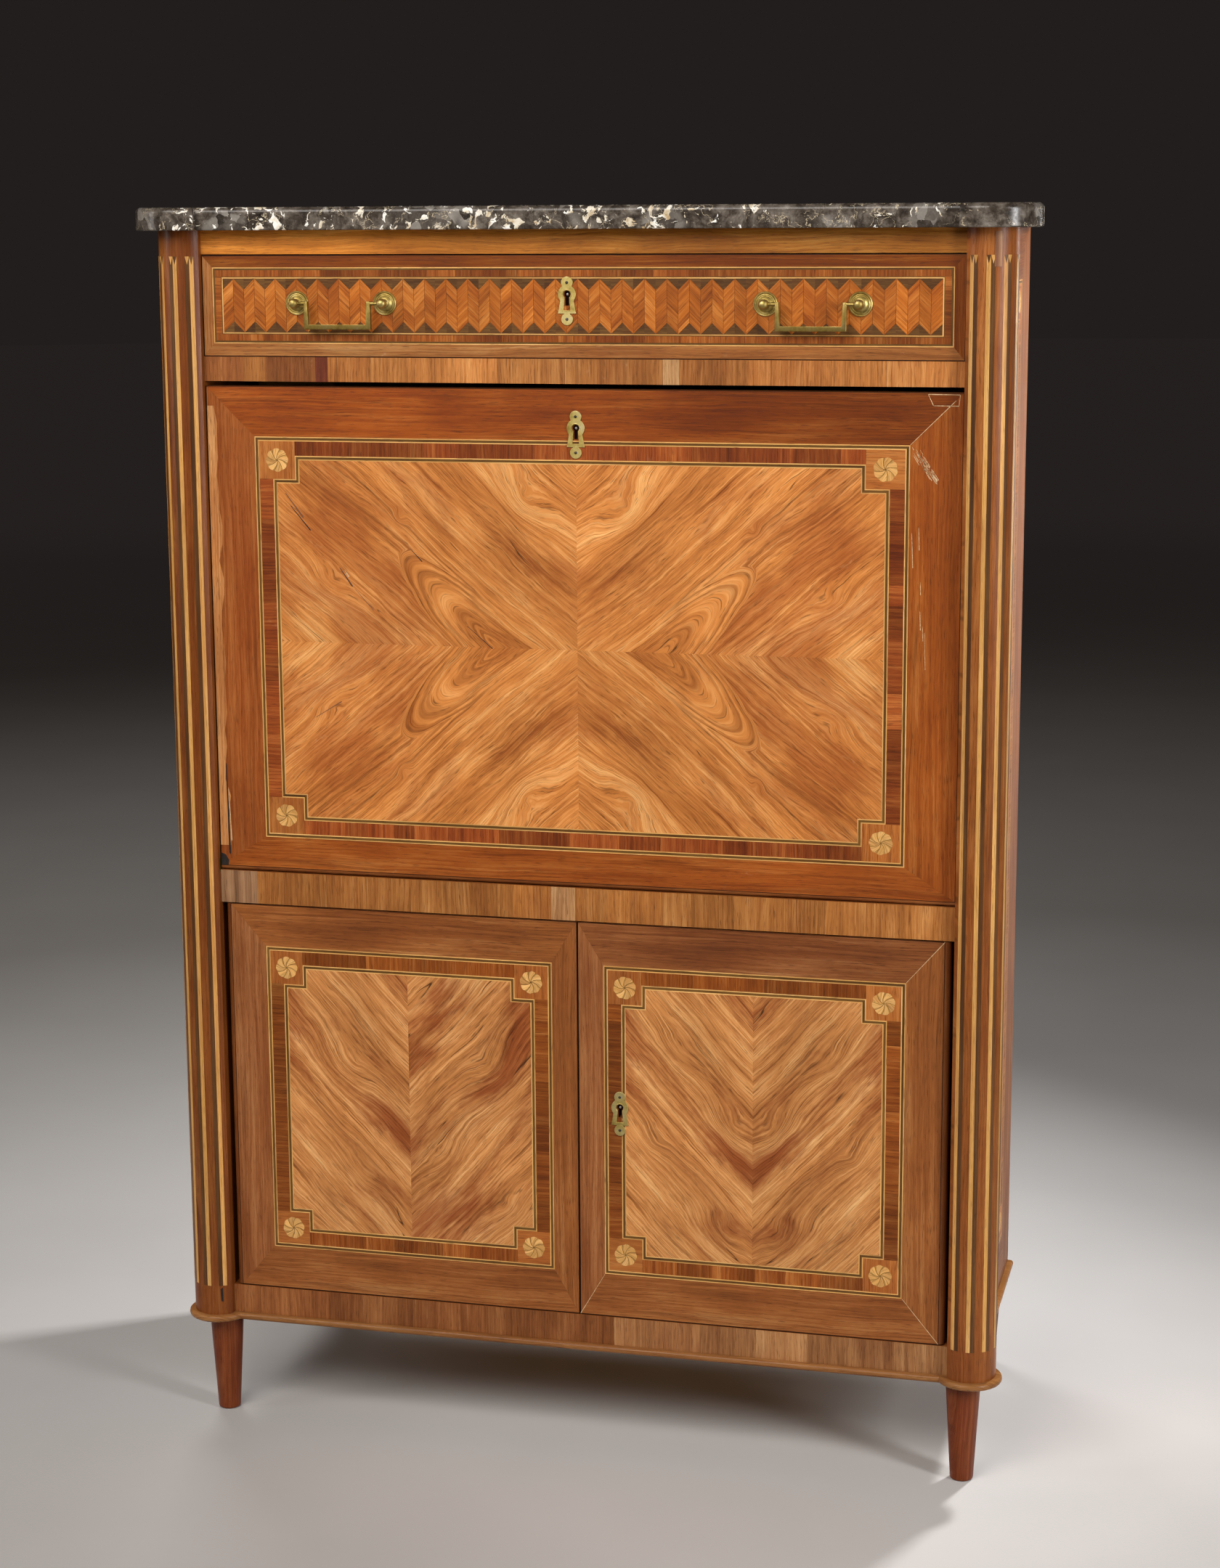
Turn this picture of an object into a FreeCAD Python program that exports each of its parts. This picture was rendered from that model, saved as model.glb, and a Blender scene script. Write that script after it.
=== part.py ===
import FreeCAD, Part
import math
import os

# Drop front secretary: a frieze drawer over a fall front over two cupboard doors, on turned feet, under
# a marble top. Millimetres. X runs to the viewer's right, Y to the rear and Z up, from an origin on the floor
# under the middle. Depths called d are measured rearwards from the plane of the front rails.

# Heights, from the floor up
foot_height = 119.0
moulding_height = 8.0
bottom_rail_height = 34.0
door_opening_height = 467.0
middle_rail_height = 38.0
flap_opening_height = 560.0
drawer_rail_height = 27.0
drawer_opening_height = 112.0
frieze_rail_height = 26.0
marble_thickness = 25.0

# Plan of the case
bay_width = 850.0
case_depth = 380.0
rail_thickness = 22.0
deep_rail_depth = 60.0
column_radius = 30.0
column_centre_out = 22.5
column_centre_back = 12.2
side_face_out = 25.0
side_thickness = 18.0
corner_post_depth = 55.0
rear_post_depth = 40.0
back_thickness = 12.0
back_recess = 2.0
back_plank_count = 5
top_board_thickness = 14.0
dust_board_thickness = 14.0
bottom_board_thickness = 18.0

# Marble top: it steps out in a round ear over each corner column
marble_front_overhang = 24.0
marble_side_overhang = 16.0
ear_overhang = 24.0
ear_return = 27.5
marble_top_round = 6.0
marble_bottom_round = 1.5

# Base moulding and feet
moulding_reach = 7.0
moulding_round = 3.6
moulding_width = 50.0
foot_top_radius = 20.0
foot_toe_radius = 13.0
foot_toe_round = 3.0
front_foot_out = 16.0
front_foot_back = 14.0
rear_foot_inset = 24.0

# Gaps and fits
running_gap = 0.3
slide_gap = 0.3
pin_clearance = 0.05
screw_clearance = 0.2
drawer_side_gap = 0.8
drawer_top_gap = 1.2
drawer_bottom_gap = 0.6
flap_side_gap = 1.0
flap_bottom_gap = 0.6
flap_top_gap = 5.5
door_meeting_gap = 1.2
door_post_gap = 5.0
door_end_gap = 1.3

# Frieze drawer
drawer_front_thickness = 20.0
drawer_side_thickness = 12.0
drawer_bottom_thickness = 8.0
drawer_bottom_lift = 4.0
drawer_side_drop = 9.0
drawer_rear_gap = 31.0
drawer_guide_height = 22.0

# Bail handles
handle_spacing = 525.0
handle_boring = 101.5
handle_height = 59.0
rosette_radius = 13.2
rosette_bead_width = 2.7
rosette_bead_height = 1.8
rosette_dish_height = 1.2
rosette_boss_radius = 8.6
rosette_boss_height = 2.7
rosette_hub_radius = 6.6
rosette_hub_height = 3.8
rosette_chamfer = 0.6
post_shank_radius = 2.5
post_ball_radius = 5.2
post_neck_radius = 3.4
post_reach = 13.0
bail_bar = 4.5
bail_arm_out = 36.0
bail_drop = 26.0
bail_stub_radius = 1.8
bail_stub_end_gap = 1.0
handle_nut_width = 10.0
handle_nut_height = 3.5
post_tail = 2.0

# Locks, bolts and escutcheons
lock_width = 60.0
lock_depth = 10.0
lock_tail = 26.0
lock_setback = 42.0
door_lock_setback = 48.0
bolt_width = 24.0
bolt_thickness = 5.0
bolt_length = 24.0
bolt_inset = 0.5
drawer_bolt_travel = 8.0
flap_bolt_travel = 12.0
door_bolt_travel = 9.0
mortise_slack = 1.0
keyhole_overcut = 1.0
drawer_keyhole_x = -5.5
flap_keyhole_x = 3.0
door_keyhole_height = 252.0
keyhole_radius = 3.6
keyhole_slot_width = 4.2
keyhole_slot_drop = 12.0
key_pin_radius = 1.4
escutcheon_thickness = 1.8
escutcheon_body_radius = 10.0
escutcheon_lobe_radius = 6.5
escutcheon_lobe_rise = 12.5
escutcheon_lobe_drop = 26.5
escutcheon_skirt_half_top = 6.3
escutcheon_skirt_half = 10.0
escutcheon_skirt_drop = 20.5
escutcheon_pin_radius = 1.9
escutcheon_pin_height = 0.9

# Fall front
flap_thickness = 22.0
flap_pivot_inset = 5.0
flap_pivot_radius = 2.5
flap_leaf_thickness = 3.0
flap_leaf_length = 60.0
flap_leaf_margin = 2.0
pivot_plate_size = 16.0
pivot_plate_thickness = 3.0
pivot_pin_reach = 9.0
leather_border = 80.0
leather_thickness = 1.0
stay_radius = 150.0
stay_width = 10.0
stay_thickness = 3.5
stay_side_gap = 3.0
stay_end_angle = -2.0
stay_lug_reach = 6.0
stay_foot_length = 30.0
stay_foot_width = 10.0
stay_foot_thickness = 3.0
stay_slot_clearance = 1.5

# Doors
door_thickness = 20.0
door_pivot_inset = 6.0
door_pivot_radius = 3.0
door_leaf_length = 44.0
door_leaf_width = 14.0
door_leaf_margin = 2.0
door_leaf_thickness = 3.0
door_pin_reach = 7.0
flush_bolt_width = 8.0
flush_bolt_thickness = 5.0
flush_bolt_length = 90.0
flush_bolt_inset = 4.0
flush_bolt_travel = 14.0
flush_bolt_edge = 22.0
bolt_plate_width = 18.0
bolt_plate_thickness = 2.0
bolt_keeper_height = 10.0
bolt_keeper_wall = 2.0
door_stop_height = 14.0
door_stop_length = 60.0
door_stop_inset = 110.0

# Cupboard shelf
shelf_height = 235.0
shelf_thickness = 15.0
shelf_cleat_height = 20.0
shelf_cleat_width = 20.0
shelf_cleat_setback = 5.0

# Writing compartment fitting: pigeonholes over small drawers
nest_setback = 130.0
nest_side_gap = 14.0
nest_board = 10.0
nest_drawer_zone = 200.0
nest_pigeonhole_height = 170.0
nest_niche_width = 300.0
pigeonhole_count = 5
pigeonhole_board = 6.0
inner_drawer_shelf = 8.0
inner_drawer_gap = 0.6
inner_drawer_wall = 7.0
inner_drawer_front = 12.0
inner_drawer_rear_gap = 16.0
knob_radius = 7.0
knob_neck_radius = 3.5
knob_neck_length = 6.4
knob_swell_length = 4.0
knob_rim_length = 3.2
knob_crown_length = 2.4

# Levels
moulding_z = foot_height
bottom_rail_z = moulding_z + moulding_height
door_opening_z = bottom_rail_z + bottom_rail_height
middle_rail_z = door_opening_z + door_opening_height
flap_opening_z = middle_rail_z + middle_rail_height
drawer_rail_z = flap_opening_z + flap_opening_height
drawer_opening_z = drawer_rail_z + drawer_rail_height
frieze_rail_z = drawer_opening_z + drawer_opening_height
case_top_z = frieze_rail_z + frieze_rail_height
marble_top_z = case_top_z + marble_thickness

# Places across the case
bay = bay_width / 2
column_x = bay + column_centre_out
side_x = bay + side_face_out
side_inner_x = side_x - side_thickness
back_d = case_depth - back_recess - back_thickness

# Places in depth: the marble's ears reach furthest forward, and the box is centred on the origin
ear_radius = column_radius + ear_overhang
marble_front_reach = ear_radius - column_centre_back
front_y = (marble_front_reach - case_depth) / 2

# The fall front's pivot line and the writing floor that lies level with the open flap
flap_half = bay - flap_side_gap
flap_bottom_z = flap_opening_z + flap_bottom_gap
flap_top_z = drawer_rail_z - flap_top_gap
flap_pivot_z = flap_bottom_z + flap_pivot_inset
flap_rear_reach = flap_thickness - flap_pivot_inset
flap_sweep = math.hypot(flap_rear_reach, flap_pivot_inset)
writing_z = flap_pivot_z + flap_rear_reach
writing_floor_d = flap_pivot_inset + flap_sweep + running_gap
stay_outer_x = bay - stay_side_gap
stay_inner_x = stay_outer_x - stay_thickness

# The doors' edges and pivots
door_outer_x = bay - door_post_gap
door_inner_x = door_meeting_gap / 2
door_bottom_z = door_opening_z + door_end_gap
door_top_z = middle_rail_z - door_end_gap
door_pivot_x = door_outer_x - door_pivot_inset

# The drawer's outer box
drawer_half = bay - drawer_side_gap
drawer_bottom_z = drawer_opening_z + drawer_bottom_gap
drawer_top_z = frieze_rail_z - drawer_top_gap
drawer_length = back_d - drawer_rear_gap
handle_z = drawer_opening_z + handle_height

X_AXIS = FreeCAD.Vector(1, 0, 0)
Y_AXIS = FreeCAD.Vector(0, 1, 0)
Z_AXIS = FreeCAD.Vector(0, 0, 1)
ORIGIN = FreeCAD.Vector(0, 0, 0)


def point(x, d, z):
    return FreeCAD.Vector(x, front_y + d, z)


def box(x0, x1, d0, d1, z0, z1):
    return Part.makeBox(x1 - x0, d1 - d0, z1 - z0, point(x0, d0, z0))


def rod_x(x0, x1, d, z, radius):
    return Part.makeCylinder(radius, x1 - x0, point(x0, d, z), X_AXIS)


def rod_y(d0, d1, x, z, radius):
    return Part.makeCylinder(radius, d1 - d0, point(x, d0, z), Y_AXIS)


def rod_z(z0, z1, x, d, radius):
    return Part.makeCylinder(radius, z1 - z0, point(x, d, z0), Z_AXIS)


def mirrored(shape):
    """The left-hand copy of a right-hand piece."""
    return shape.mirror(ORIGIN, X_AXIS)


def both(shape):
    return [shape, mirrored(shape)]


def cut_all(shape, tools):
    for tool in tools:
        shape = shape.cut(tool)
    return shape


def fuse_all(shapes):
    whole = shapes[0]
    for shape in shapes[1:]:
        whole = whole.fuse(shape)
    return whole.removeSplitter()


def line(a, b):
    return Part.LineSegment(a, b).toShape()


def arc(a, b, c):
    return Part.Arc(a, b, c).toShape()


def prism(edges, height):
    """A closed plan outline, raised by height."""
    face = Part.Face(Part.Wire(edges))
    return face.extrude(FreeCAD.Vector(0, 0, height))


def turned(profile, axis_point, axis):
    """A solid of revolution from a closed list of points in a plane that holds the axis."""
    wire = Part.makePolygon(profile + [profile[0]])
    return Part.Face(wire).revolve(axis_point, axis, 360)


def round_level_edges(shape, z, radius, wanted):
    """Rounds the edges that lie flat at height z and that wanted accepts."""
    edges = []
    for edge in shape.Edges:
        low = edge.BoundBox.ZMin
        high = edge.BoundBox.ZMax
        if abs(low - z) < 1e-6 and abs(high - z) < 1e-6 and wanted(edge):
            edges.append(edge)
    return shape.makeFillet(radius, edges)


def node(name, *solids):
    """Writes one named piece, or a group of like pieces, to its own file."""
    shape = solids[0] if len(solids) == 1 else Part.makeCompound(list(solids))
    shape.exportStep("parts/" + name + ".step")


def on_column(radius, degrees):
    """A point at foot level round the right column: 0 faces the viewer's right, -90 the front."""
    turn = math.radians(degrees)
    return point(column_x + radius * math.cos(turn), column_centre_back + radius * math.sin(turn), 0)


def raised(edge_points, z):
    return [FreeCAD.Vector(p.x, p.y, z) for p in edge_points]


# Marble top
def marble():
    """A slab with a straight front and sides, and a round ear with short square returns at each column."""
    reach = math.sqrt(ear_radius ** 2 - ear_return ** 2)
    side_edge = side_x + marble_side_overhang
    front_return = point(column_x - ear_return, column_centre_back - reach, 0)
    side_return = point(column_x + reach, column_centre_back + ear_return, 0)
    right = [
        point(side_edge, case_depth, 0),
        point(side_edge, column_centre_back + ear_return, 0),
        side_return,
        on_column(ear_radius, -45),
        front_return,
        point(column_x - ear_return, -marble_front_overhang, 0),
    ]
    right = raised(right, case_top_z)
    left = [FreeCAD.Vector(-p.x, p.y, p.z) for p in right]
    edges = [
        line(right[0], right[1]),
        line(right[1], right[2]),
        arc(right[2], right[3], right[4]),
        line(right[4], right[5]),
        line(right[5], left[5]),
        line(left[5], left[4]),
        arc(left[4], left[3], left[2]),
        line(left[2], left[1]),
        line(left[1], left[0]),
        line(left[0], right[0]),
    ]
    slab = prism(edges, marble_thickness)

    def not_rear(edge):
        return edge.CenterOfMass.y < front_y + case_depth - marble_top_round

    slab = round_level_edges(slab, marble_top_z, marble_top_round, not_rear)
    return round_level_edges(slab, case_top_z, marble_bottom_round, not_rear)


# Corner posts: a round column on a square back, let in for the flap's pivot and its stay
def corner_post():
    front_d = column_centre_back - math.sqrt(column_radius ** 2 - column_centre_out ** 2)
    side_step = side_face_out - column_centre_out
    side_d = column_centre_back + math.sqrt(column_radius ** 2 - side_step ** 2)
    start = math.degrees(math.atan2(front_d - column_centre_back, -column_centre_out))
    end = math.degrees(math.atan2(side_d - column_centre_back, side_step))
    plan = [
        point(bay, corner_post_depth, 0),
        point(bay, front_d, 0),
        on_column(column_radius, (start + end) / 2),
        point(side_x, side_d, 0),
        point(side_x, corner_post_depth, 0),
    ]
    plan = raised(plan, bottom_rail_z)
    edges = [
        line(plan[0], plan[1]),
        arc(plan[1], plan[2], plan[3]),
        line(plan[3], plan[4]),
        line(plan[4], plan[0]),
    ]
    post = prism(edges, case_top_z - bottom_rail_z)
    pin_end = bay + pivot_pin_reach + running_gap
    pin_hole_radius = flap_pivot_radius + running_gap
    pin_hole = rod_x(bay, pin_end, flap_pivot_inset, flap_pivot_z, pin_hole_radius)
    return cut_all(post, [pivot_plate_block(), pin_hole, stay_groove()])


def pivot_plate_block():
    half = pivot_plate_size / 2
    return box(bay, bay + pivot_plate_thickness, flap_pivot_inset - half, flap_pivot_inset + half,
               flap_pivot_z - half, flap_pivot_z + half)


def pivot_plate():
    """Brass bush plate, flush in the corner post, that carries the flap's pin."""
    bore = rod_x(bay, bay + pivot_plate_thickness, flap_pivot_inset, flap_pivot_z,
                 flap_pivot_radius + pin_clearance)
    return pivot_plate_block().cut(bore)


def pivot_ring(inner, outer, x0, x1):
    """A ring round the flap's pivot line."""
    ring = rod_x(x0, x1, flap_pivot_inset, flap_pivot_z, outer)
    return ring.cut(rod_x(x0, x1, flap_pivot_inset, flap_pivot_z, inner))


def stay_groove():
    """The groove in the post's inner face that the stay's lug runs in; its front end is the flap's stop."""
    half = stay_width / 2 + stay_slot_clearance
    depth = stay_outer_x + stay_lug_reach + running_gap
    ring = pivot_ring(stay_radius - half, stay_radius + half, bay, depth)
    stop_d = lug_open_d() - stay_width / 2 - running_gap
    room = box(bay, depth, stop_d, corner_post_depth, flap_pivot_z, flap_pivot_z + stay_radius + half)
    return ring.common(room)


def lug_open_d():
    """Depth of the lug's middle with the flap level."""
    return flap_pivot_inset + stay_radius * math.cos(math.radians(stay_end_angle + 90))


# Boards of the case
def side_panel():
    return box(side_inner_x, side_x, corner_post_depth, case_depth - rear_post_depth,
               bottom_rail_z, case_top_z)


def rear_post():
    return box(bay, side_x, case_depth - rear_post_depth, case_depth, bottom_rail_z, case_top_z)


def back_planks():
    width = bay_width / back_plank_count
    planks = []
    for i in range(back_plank_count):
        x0 = -bay + i * width
        planks.append(box(x0, x0 + width, back_d, back_d + back_thickness, bottom_rail_z, case_top_z))
    return planks


def bolt_mortise(x, d, z0, z1, width, thickness):
    half_x = width / 2 + mortise_slack
    half_d = thickness / 2 + mortise_slack
    return box(x - half_x, x + half_x, d - half_d, d + half_d, z0, z1)


def lock_bolt_d(panel_thickness):
    """Depth of a lock bolt's middle in a panel whose lock is flush with the inner face."""
    return panel_thickness - lock_depth / 2


def frieze_rail():
    rail = box(-bay, bay, 0, rail_thickness, frieze_rail_z, case_top_z)
    top = drawer_top_z - bolt_inset + drawer_bolt_travel + mortise_slack
    mortise = bolt_mortise(drawer_keyhole_x, lock_bolt_d(drawer_front_thickness), frieze_rail_z, top,
                           bolt_width, bolt_thickness)
    return rail.cut(mortise)


def drawer_rail():
    rail = box(-bay, bay, 0, deep_rail_depth, drawer_rail_z, drawer_opening_z)
    top = flap_top_z - bolt_inset + flap_bolt_travel + mortise_slack
    mortise = bolt_mortise(flap_keyhole_x, lock_bolt_d(flap_thickness), drawer_rail_z, top,
                           bolt_width, bolt_thickness)
    return rail.cut(mortise)


def flush_bolt_x():
    return -door_inner_x - flush_bolt_edge


def flush_bolt_d():
    return door_thickness + bolt_plate_thickness + slide_gap + flush_bolt_thickness / 2


def flush_bolt_reach():
    """How far a thrown flush bolt passes the door's end."""
    return flush_bolt_travel - flush_bolt_inset + mortise_slack


def door_plate_block(z):
    """Room for a hinge plate in a rail, over the right door's pivot."""
    x1 = door_outer_x - door_leaf_margin
    return box(x1 - door_leaf_length, x1, door_leaf_margin, door_leaf_margin + door_leaf_width,
               z, z + door_leaf_thickness)


def middle_rail():
    rail = box(-bay, bay, 0, deep_rail_depth, middle_rail_z, flap_opening_z)
    pin_top = door_top_z + door_end_gap + door_pin_reach + running_gap
    hole = rod_z(middle_rail_z, pin_top, door_pivot_x, door_pivot_inset, door_pivot_radius + running_gap)
    tools = both(door_plate_block(middle_rail_z)) + both(hole)
    tools.append(bolt_mortise(flush_bolt_x(), flush_bolt_d(), middle_rail_z, door_top_z + flush_bolt_reach(),
                              flush_bolt_width, flush_bolt_thickness))
    return cut_all(rail, tools)


def bottom_rail():
    rail = box(-bay, bay, 0, rail_thickness, bottom_rail_z, door_opening_z)
    pin_foot = door_bottom_z - door_end_gap - door_pin_reach - running_gap
    hole = rod_z(pin_foot, door_opening_z, door_pivot_x, door_pivot_inset, door_pivot_radius + running_gap)
    plates = both(door_plate_block(door_opening_z - door_leaf_thickness))
    return cut_all(rail, plates + both(hole) + [floor_bolt_mortise()])


def floor_bolt_mortise():
    """Room for the lower flush bolt in whatever lies under it."""
    return bolt_mortise(flush_bolt_x(), flush_bolt_d(), door_bottom_z - flush_bolt_reach(), door_opening_z,
                        flush_bolt_width, flush_bolt_thickness)


def bottom_board():
    board = box(-bay, bay, rail_thickness, back_d, door_opening_z - bottom_board_thickness, door_opening_z)
    return board.cut(floor_bolt_mortise())


def writing_floor():
    """The floor of the writing compartment, level with the open flap, slotted for the stays."""
    floor = box(-bay, bay, writing_floor_d, back_d, flap_opening_z, writing_z)
    half = stay_width / 2 + stay_slot_clearance
    slot_d = flap_pivot_inset + math.sqrt((stay_radius - half) ** 2 - flap_rear_reach ** 2)
    slot = box(stay_inner_x - stay_slot_clearance, bay, slot_d, flap_pivot_inset + stay_radius + half,
               flap_opening_z, writing_z)
    return cut_all(floor, both(slot))


def door_hinge_plates():
    plates = []
    for z in (middle_rail_z, door_opening_z - door_leaf_thickness):
        bore = rod_z(z, z + door_leaf_thickness, door_pivot_x, door_pivot_inset,
                     door_pivot_radius + pin_clearance)
        plates += both(door_plate_block(z).cut(bore))
    return plates


def base_moulding():
    """A half-round strip under the front, bowed round each column, and a strip under each side."""
    radius = column_radius + moulding_reach
    bow = math.sqrt(radius ** 2 - (column_centre_back + moulding_reach) ** 2)
    side_edge = side_x + moulding_reach
    side_reach = side_edge - column_x
    bow_end_d = column_centre_back + math.sqrt(radius ** 2 - side_reach ** 2)
    start = math.degrees(math.atan2(-moulding_reach - column_centre_back, -bow))
    end = math.degrees(math.atan2(bow_end_d - column_centre_back, side_reach))
    right = [
        point(column_x - bow, -moulding_reach, 0),
        on_column(radius, (start + end) / 2),
        point(side_edge, bow_end_d, 0),
        point(side_edge, corner_post_depth, 0),
    ]
    right = raised(right, moulding_z)
    left = [FreeCAD.Vector(-p.x, p.y, p.z) for p in right]
    edges = [
        line(left[0], right[0]),
        arc(right[0], right[1], right[2]),
        line(right[2], right[3]),
        line(right[3], left[3]),
        line(left[3], left[2]),
        arc(left[2], left[1], left[0]),
    ]
    front = prism(edges, moulding_height)
    rear_line = front_y + corner_post_depth

    def seen(edge):
        return edge.CenterOfMass.y < rear_line - 1

    for z in (moulding_z, bottom_rail_z):
        front = round_level_edges(front, z, moulding_round, seen)
    side = box(side_edge - moulding_width, side_edge, corner_post_depth, case_depth,
               moulding_z, bottom_rail_z)

    def outer(edge):
        return edge.CenterOfMass.x > side_edge - 1e-6

    for z in (moulding_z, bottom_rail_z):
        side = round_level_edges(side, z, moulding_round, outer)
    return [front] + both(side)


def foot(x, d):
    """A plain turned foot, tapering to a softened toe."""
    shin = Part.makeCone(foot_toe_radius, foot_top_radius, foot_height, point(x, d, 0), Z_AXIS)
    return round_level_edges(shin, 0, foot_toe_round, lambda edge: True)


# Frieze drawer
def panel_keyhole(x, z, depth):
    """A keyhole from the face of a panel down to its lock."""
    hole = rod_y(-keyhole_overcut, depth, x, z, keyhole_radius)
    half = keyhole_slot_width / 2
    return hole.fuse(box(x - half, x + half, -keyhole_overcut, depth, z - keyhole_slot_drop, z))


def lock_block(x, edge_z, thickness):
    half = lock_width / 2
    return box(x - half, x + half, thickness - lock_depth, thickness,
               edge_z - lock_setback - lock_tail, edge_z)


def lock_bolt(x, edge_z, thickness, slack):
    """A drawn-back bolt under a panel's upper edge; slack is the room left round it in the lock."""
    half_x = bolt_width / 2 + slack
    half_d = bolt_thickness / 2 + slack
    d = lock_bolt_d(thickness)
    top = edge_z if slack else edge_z - bolt_inset
    return box(x - half_x, x + half_x, d - half_d, d + half_d,
               edge_z - bolt_inset - bolt_length - slack, top)


def lock(x, edge_z, thickness):
    """A half-mortise lock with its drill pin standing in the keyhole."""
    case = lock_block(x, edge_z, thickness).cut(lock_bolt(x, edge_z, thickness, slide_gap))
    pin = rod_y(thickness / 4, thickness - lock_depth, x, edge_z - lock_setback, key_pin_radius)
    return case.fuse(pin)


def escutcheon(x, z):
    """A keyhole plate: round lobes with pins above and below a round body and a flaring skirt."""
    face = -escutcheon_thickness
    pieces = []
    lobes = (z + escutcheon_lobe_rise, z - escutcheon_lobe_drop)
    for lobe_z in lobes:
        pieces.append(rod_y(face, 0, x, lobe_z, escutcheon_lobe_radius))
        pieces.append(rod_y(face - escutcheon_pin_height, face, x, lobe_z, escutcheon_pin_radius))
    pieces.append(rod_y(face, 0, x, z, escutcheon_body_radius))
    skirt = [
        point(x - escutcheon_skirt_half_top, face, z),
        point(x + escutcheon_skirt_half_top, face, z),
        point(x + escutcheon_skirt_half, face, z - escutcheon_skirt_drop),
        point(x - escutcheon_skirt_half, face, z - escutcheon_skirt_drop),
    ]
    skirt_face = Part.Face(Part.makePolygon(skirt + [skirt[0]]))
    pieces.append(skirt_face.extrude(FreeCAD.Vector(0, escutcheon_thickness, 0)))
    half = keyhole_slot_width / 2
    plate = fuse_all(pieces)
    plate = plate.cut(rod_y(face, 0, x, z, keyhole_radius))
    return plate.cut(box(x - half, x + half, face, 0, z - keyhole_slot_drop, z))


def handle_posts_x():
    places = []
    for centre in (-handle_spacing / 2, handle_spacing / 2):
        places.append((centre - handle_boring / 2, 1))
        places.append((centre + handle_boring / 2, -1))
    return places


def drawer_front():
    front = box(-drawer_half, drawer_half, 0, drawer_front_thickness, drawer_bottom_z, drawer_top_z)
    tools = [lock_block(drawer_keyhole_x, drawer_top_z, drawer_front_thickness)]
    tools.append(panel_keyhole(drawer_keyhole_x, drawer_top_z - lock_setback, drawer_front_thickness))
    for x, side in handle_posts_x():
        tools.append(rod_y(0, drawer_front_thickness, x, handle_z, post_shank_radius + screw_clearance))
    return cut_all(front, tools)


def drawer_side():
    return box(drawer_half - drawer_side_thickness, drawer_half, drawer_front_thickness, drawer_length,
               drawer_bottom_z, drawer_top_z - drawer_side_drop)


def drawer_back():
    inner = drawer_half - drawer_side_thickness
    return box(-inner, inner, drawer_length - drawer_side_thickness, drawer_length,
               drawer_bottom_z, drawer_top_z - drawer_side_drop)


def drawer_bottom():
    inner = drawer_half - drawer_side_thickness
    z = drawer_bottom_z + drawer_bottom_lift
    return box(-inner, inner, drawer_front_thickness, drawer_length - drawer_side_thickness,
               z, z + drawer_bottom_thickness)


def rosette(x):
    """A turned brass back plate with a rim bead and a stepped boss."""
    hole = post_shank_radius + screw_clearance
    rim = rosette_radius
    bead_edge = rosette_bead_width / 3
    outline = [
        (hole, 0),
        (rim, 0),
        (rim, rosette_bead_height - bead_edge),
        (rim - bead_edge, rosette_bead_height),
        (rim - 2 * bead_edge, rosette_bead_height),
        (rim - rosette_bead_width, rosette_dish_height),
        (rosette_boss_radius, rosette_dish_height),
        (rosette_boss_radius - rosette_chamfer, rosette_boss_height),
        (rosette_hub_radius, rosette_boss_height),
        (rosette_hub_radius - rosette_chamfer, rosette_hub_height),
        (hole, rosette_hub_height),
    ]
    profile = [point(x + r, -h, handle_z) for r, h in outline]
    return turned(profile, point(x, 0, handle_z), Y_AXIS)


def handle_post(x, inward):
    """A shank with a ball, bored on the side of its bail; inward is 1 where the bail lies to the right."""
    tail = drawer_front_thickness + handle_nut_height + post_tail
    shank = rod_y(-rosette_hub_height, tail, x, handle_z, post_shank_radius)
    neck = rod_y(-post_reach, -rosette_hub_height, x, handle_z, post_neck_radius)
    ball = Part.makeSphere(post_ball_radius, point(x, -post_reach, handle_z))
    post = fuse_all([shank, neck, ball])
    blind = post_ball_radius / 2
    x0, x1 = sorted((x - inward * blind, x + inward * 2 * post_ball_radius))
    return post.cut(rod_x(x0, x1, -post_reach, handle_z, bail_stub_radius + pin_clearance))


def handle_nut(x):
    half = handle_nut_width / 2
    d = drawer_front_thickness
    nut = box(x - half, x + half, d, d + handle_nut_height, handle_z - half, handle_z + half)
    return nut.cut(rod_y(d, d + handle_nut_height, x, handle_z, post_shank_radius + screw_clearance))


def bail(centre):
    """A square-bar bail that hangs from the two balls by its out-turned round ends."""
    half = bail_bar / 2
    d = -post_reach
    foot_z = handle_z - bail_drop
    stub_end = handle_boring / 2 + post_ball_radius / 2 - bail_stub_end_gap
    pieces = [box(centre - bail_arm_out - half, centre + bail_arm_out + half, d - half, d + half,
                  foot_z - half, foot_z + half)]
    for side in (-1, 1):
        arm = centre + side * bail_arm_out
        pieces.append(box(arm - half, arm + half, d - half, d + half, foot_z - half, handle_z + half))
        x0, x1 = sorted((arm, centre + side * stub_end))
        pieces.append(rod_x(x0, x1, d, handle_z, bail_stub_radius))
    return fuse_all(pieces)


# Fall front
def flap_leaf_block():
    low_z = flap_bottom_z + flap_leaf_margin
    return box(flap_half - flap_leaf_thickness, flap_half, flap_leaf_margin,
               flap_thickness - flap_leaf_margin, low_z, low_z + flap_leaf_length)


def flap_pivot():
    """A brass leaf let into the flap's end, with the pin that turns in the post's plate."""
    pin = rod_x(flap_half - flap_leaf_thickness, bay + pivot_pin_reach, flap_pivot_inset, flap_pivot_z,
                flap_pivot_radius)
    return flap_leaf_block().fuse(pin)


def leather_block():
    half = flap_half - leather_border
    return box(-half, half, flap_thickness - leather_thickness, flap_thickness,
               flap_bottom_z + leather_border, flap_top_z - leather_border)


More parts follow.
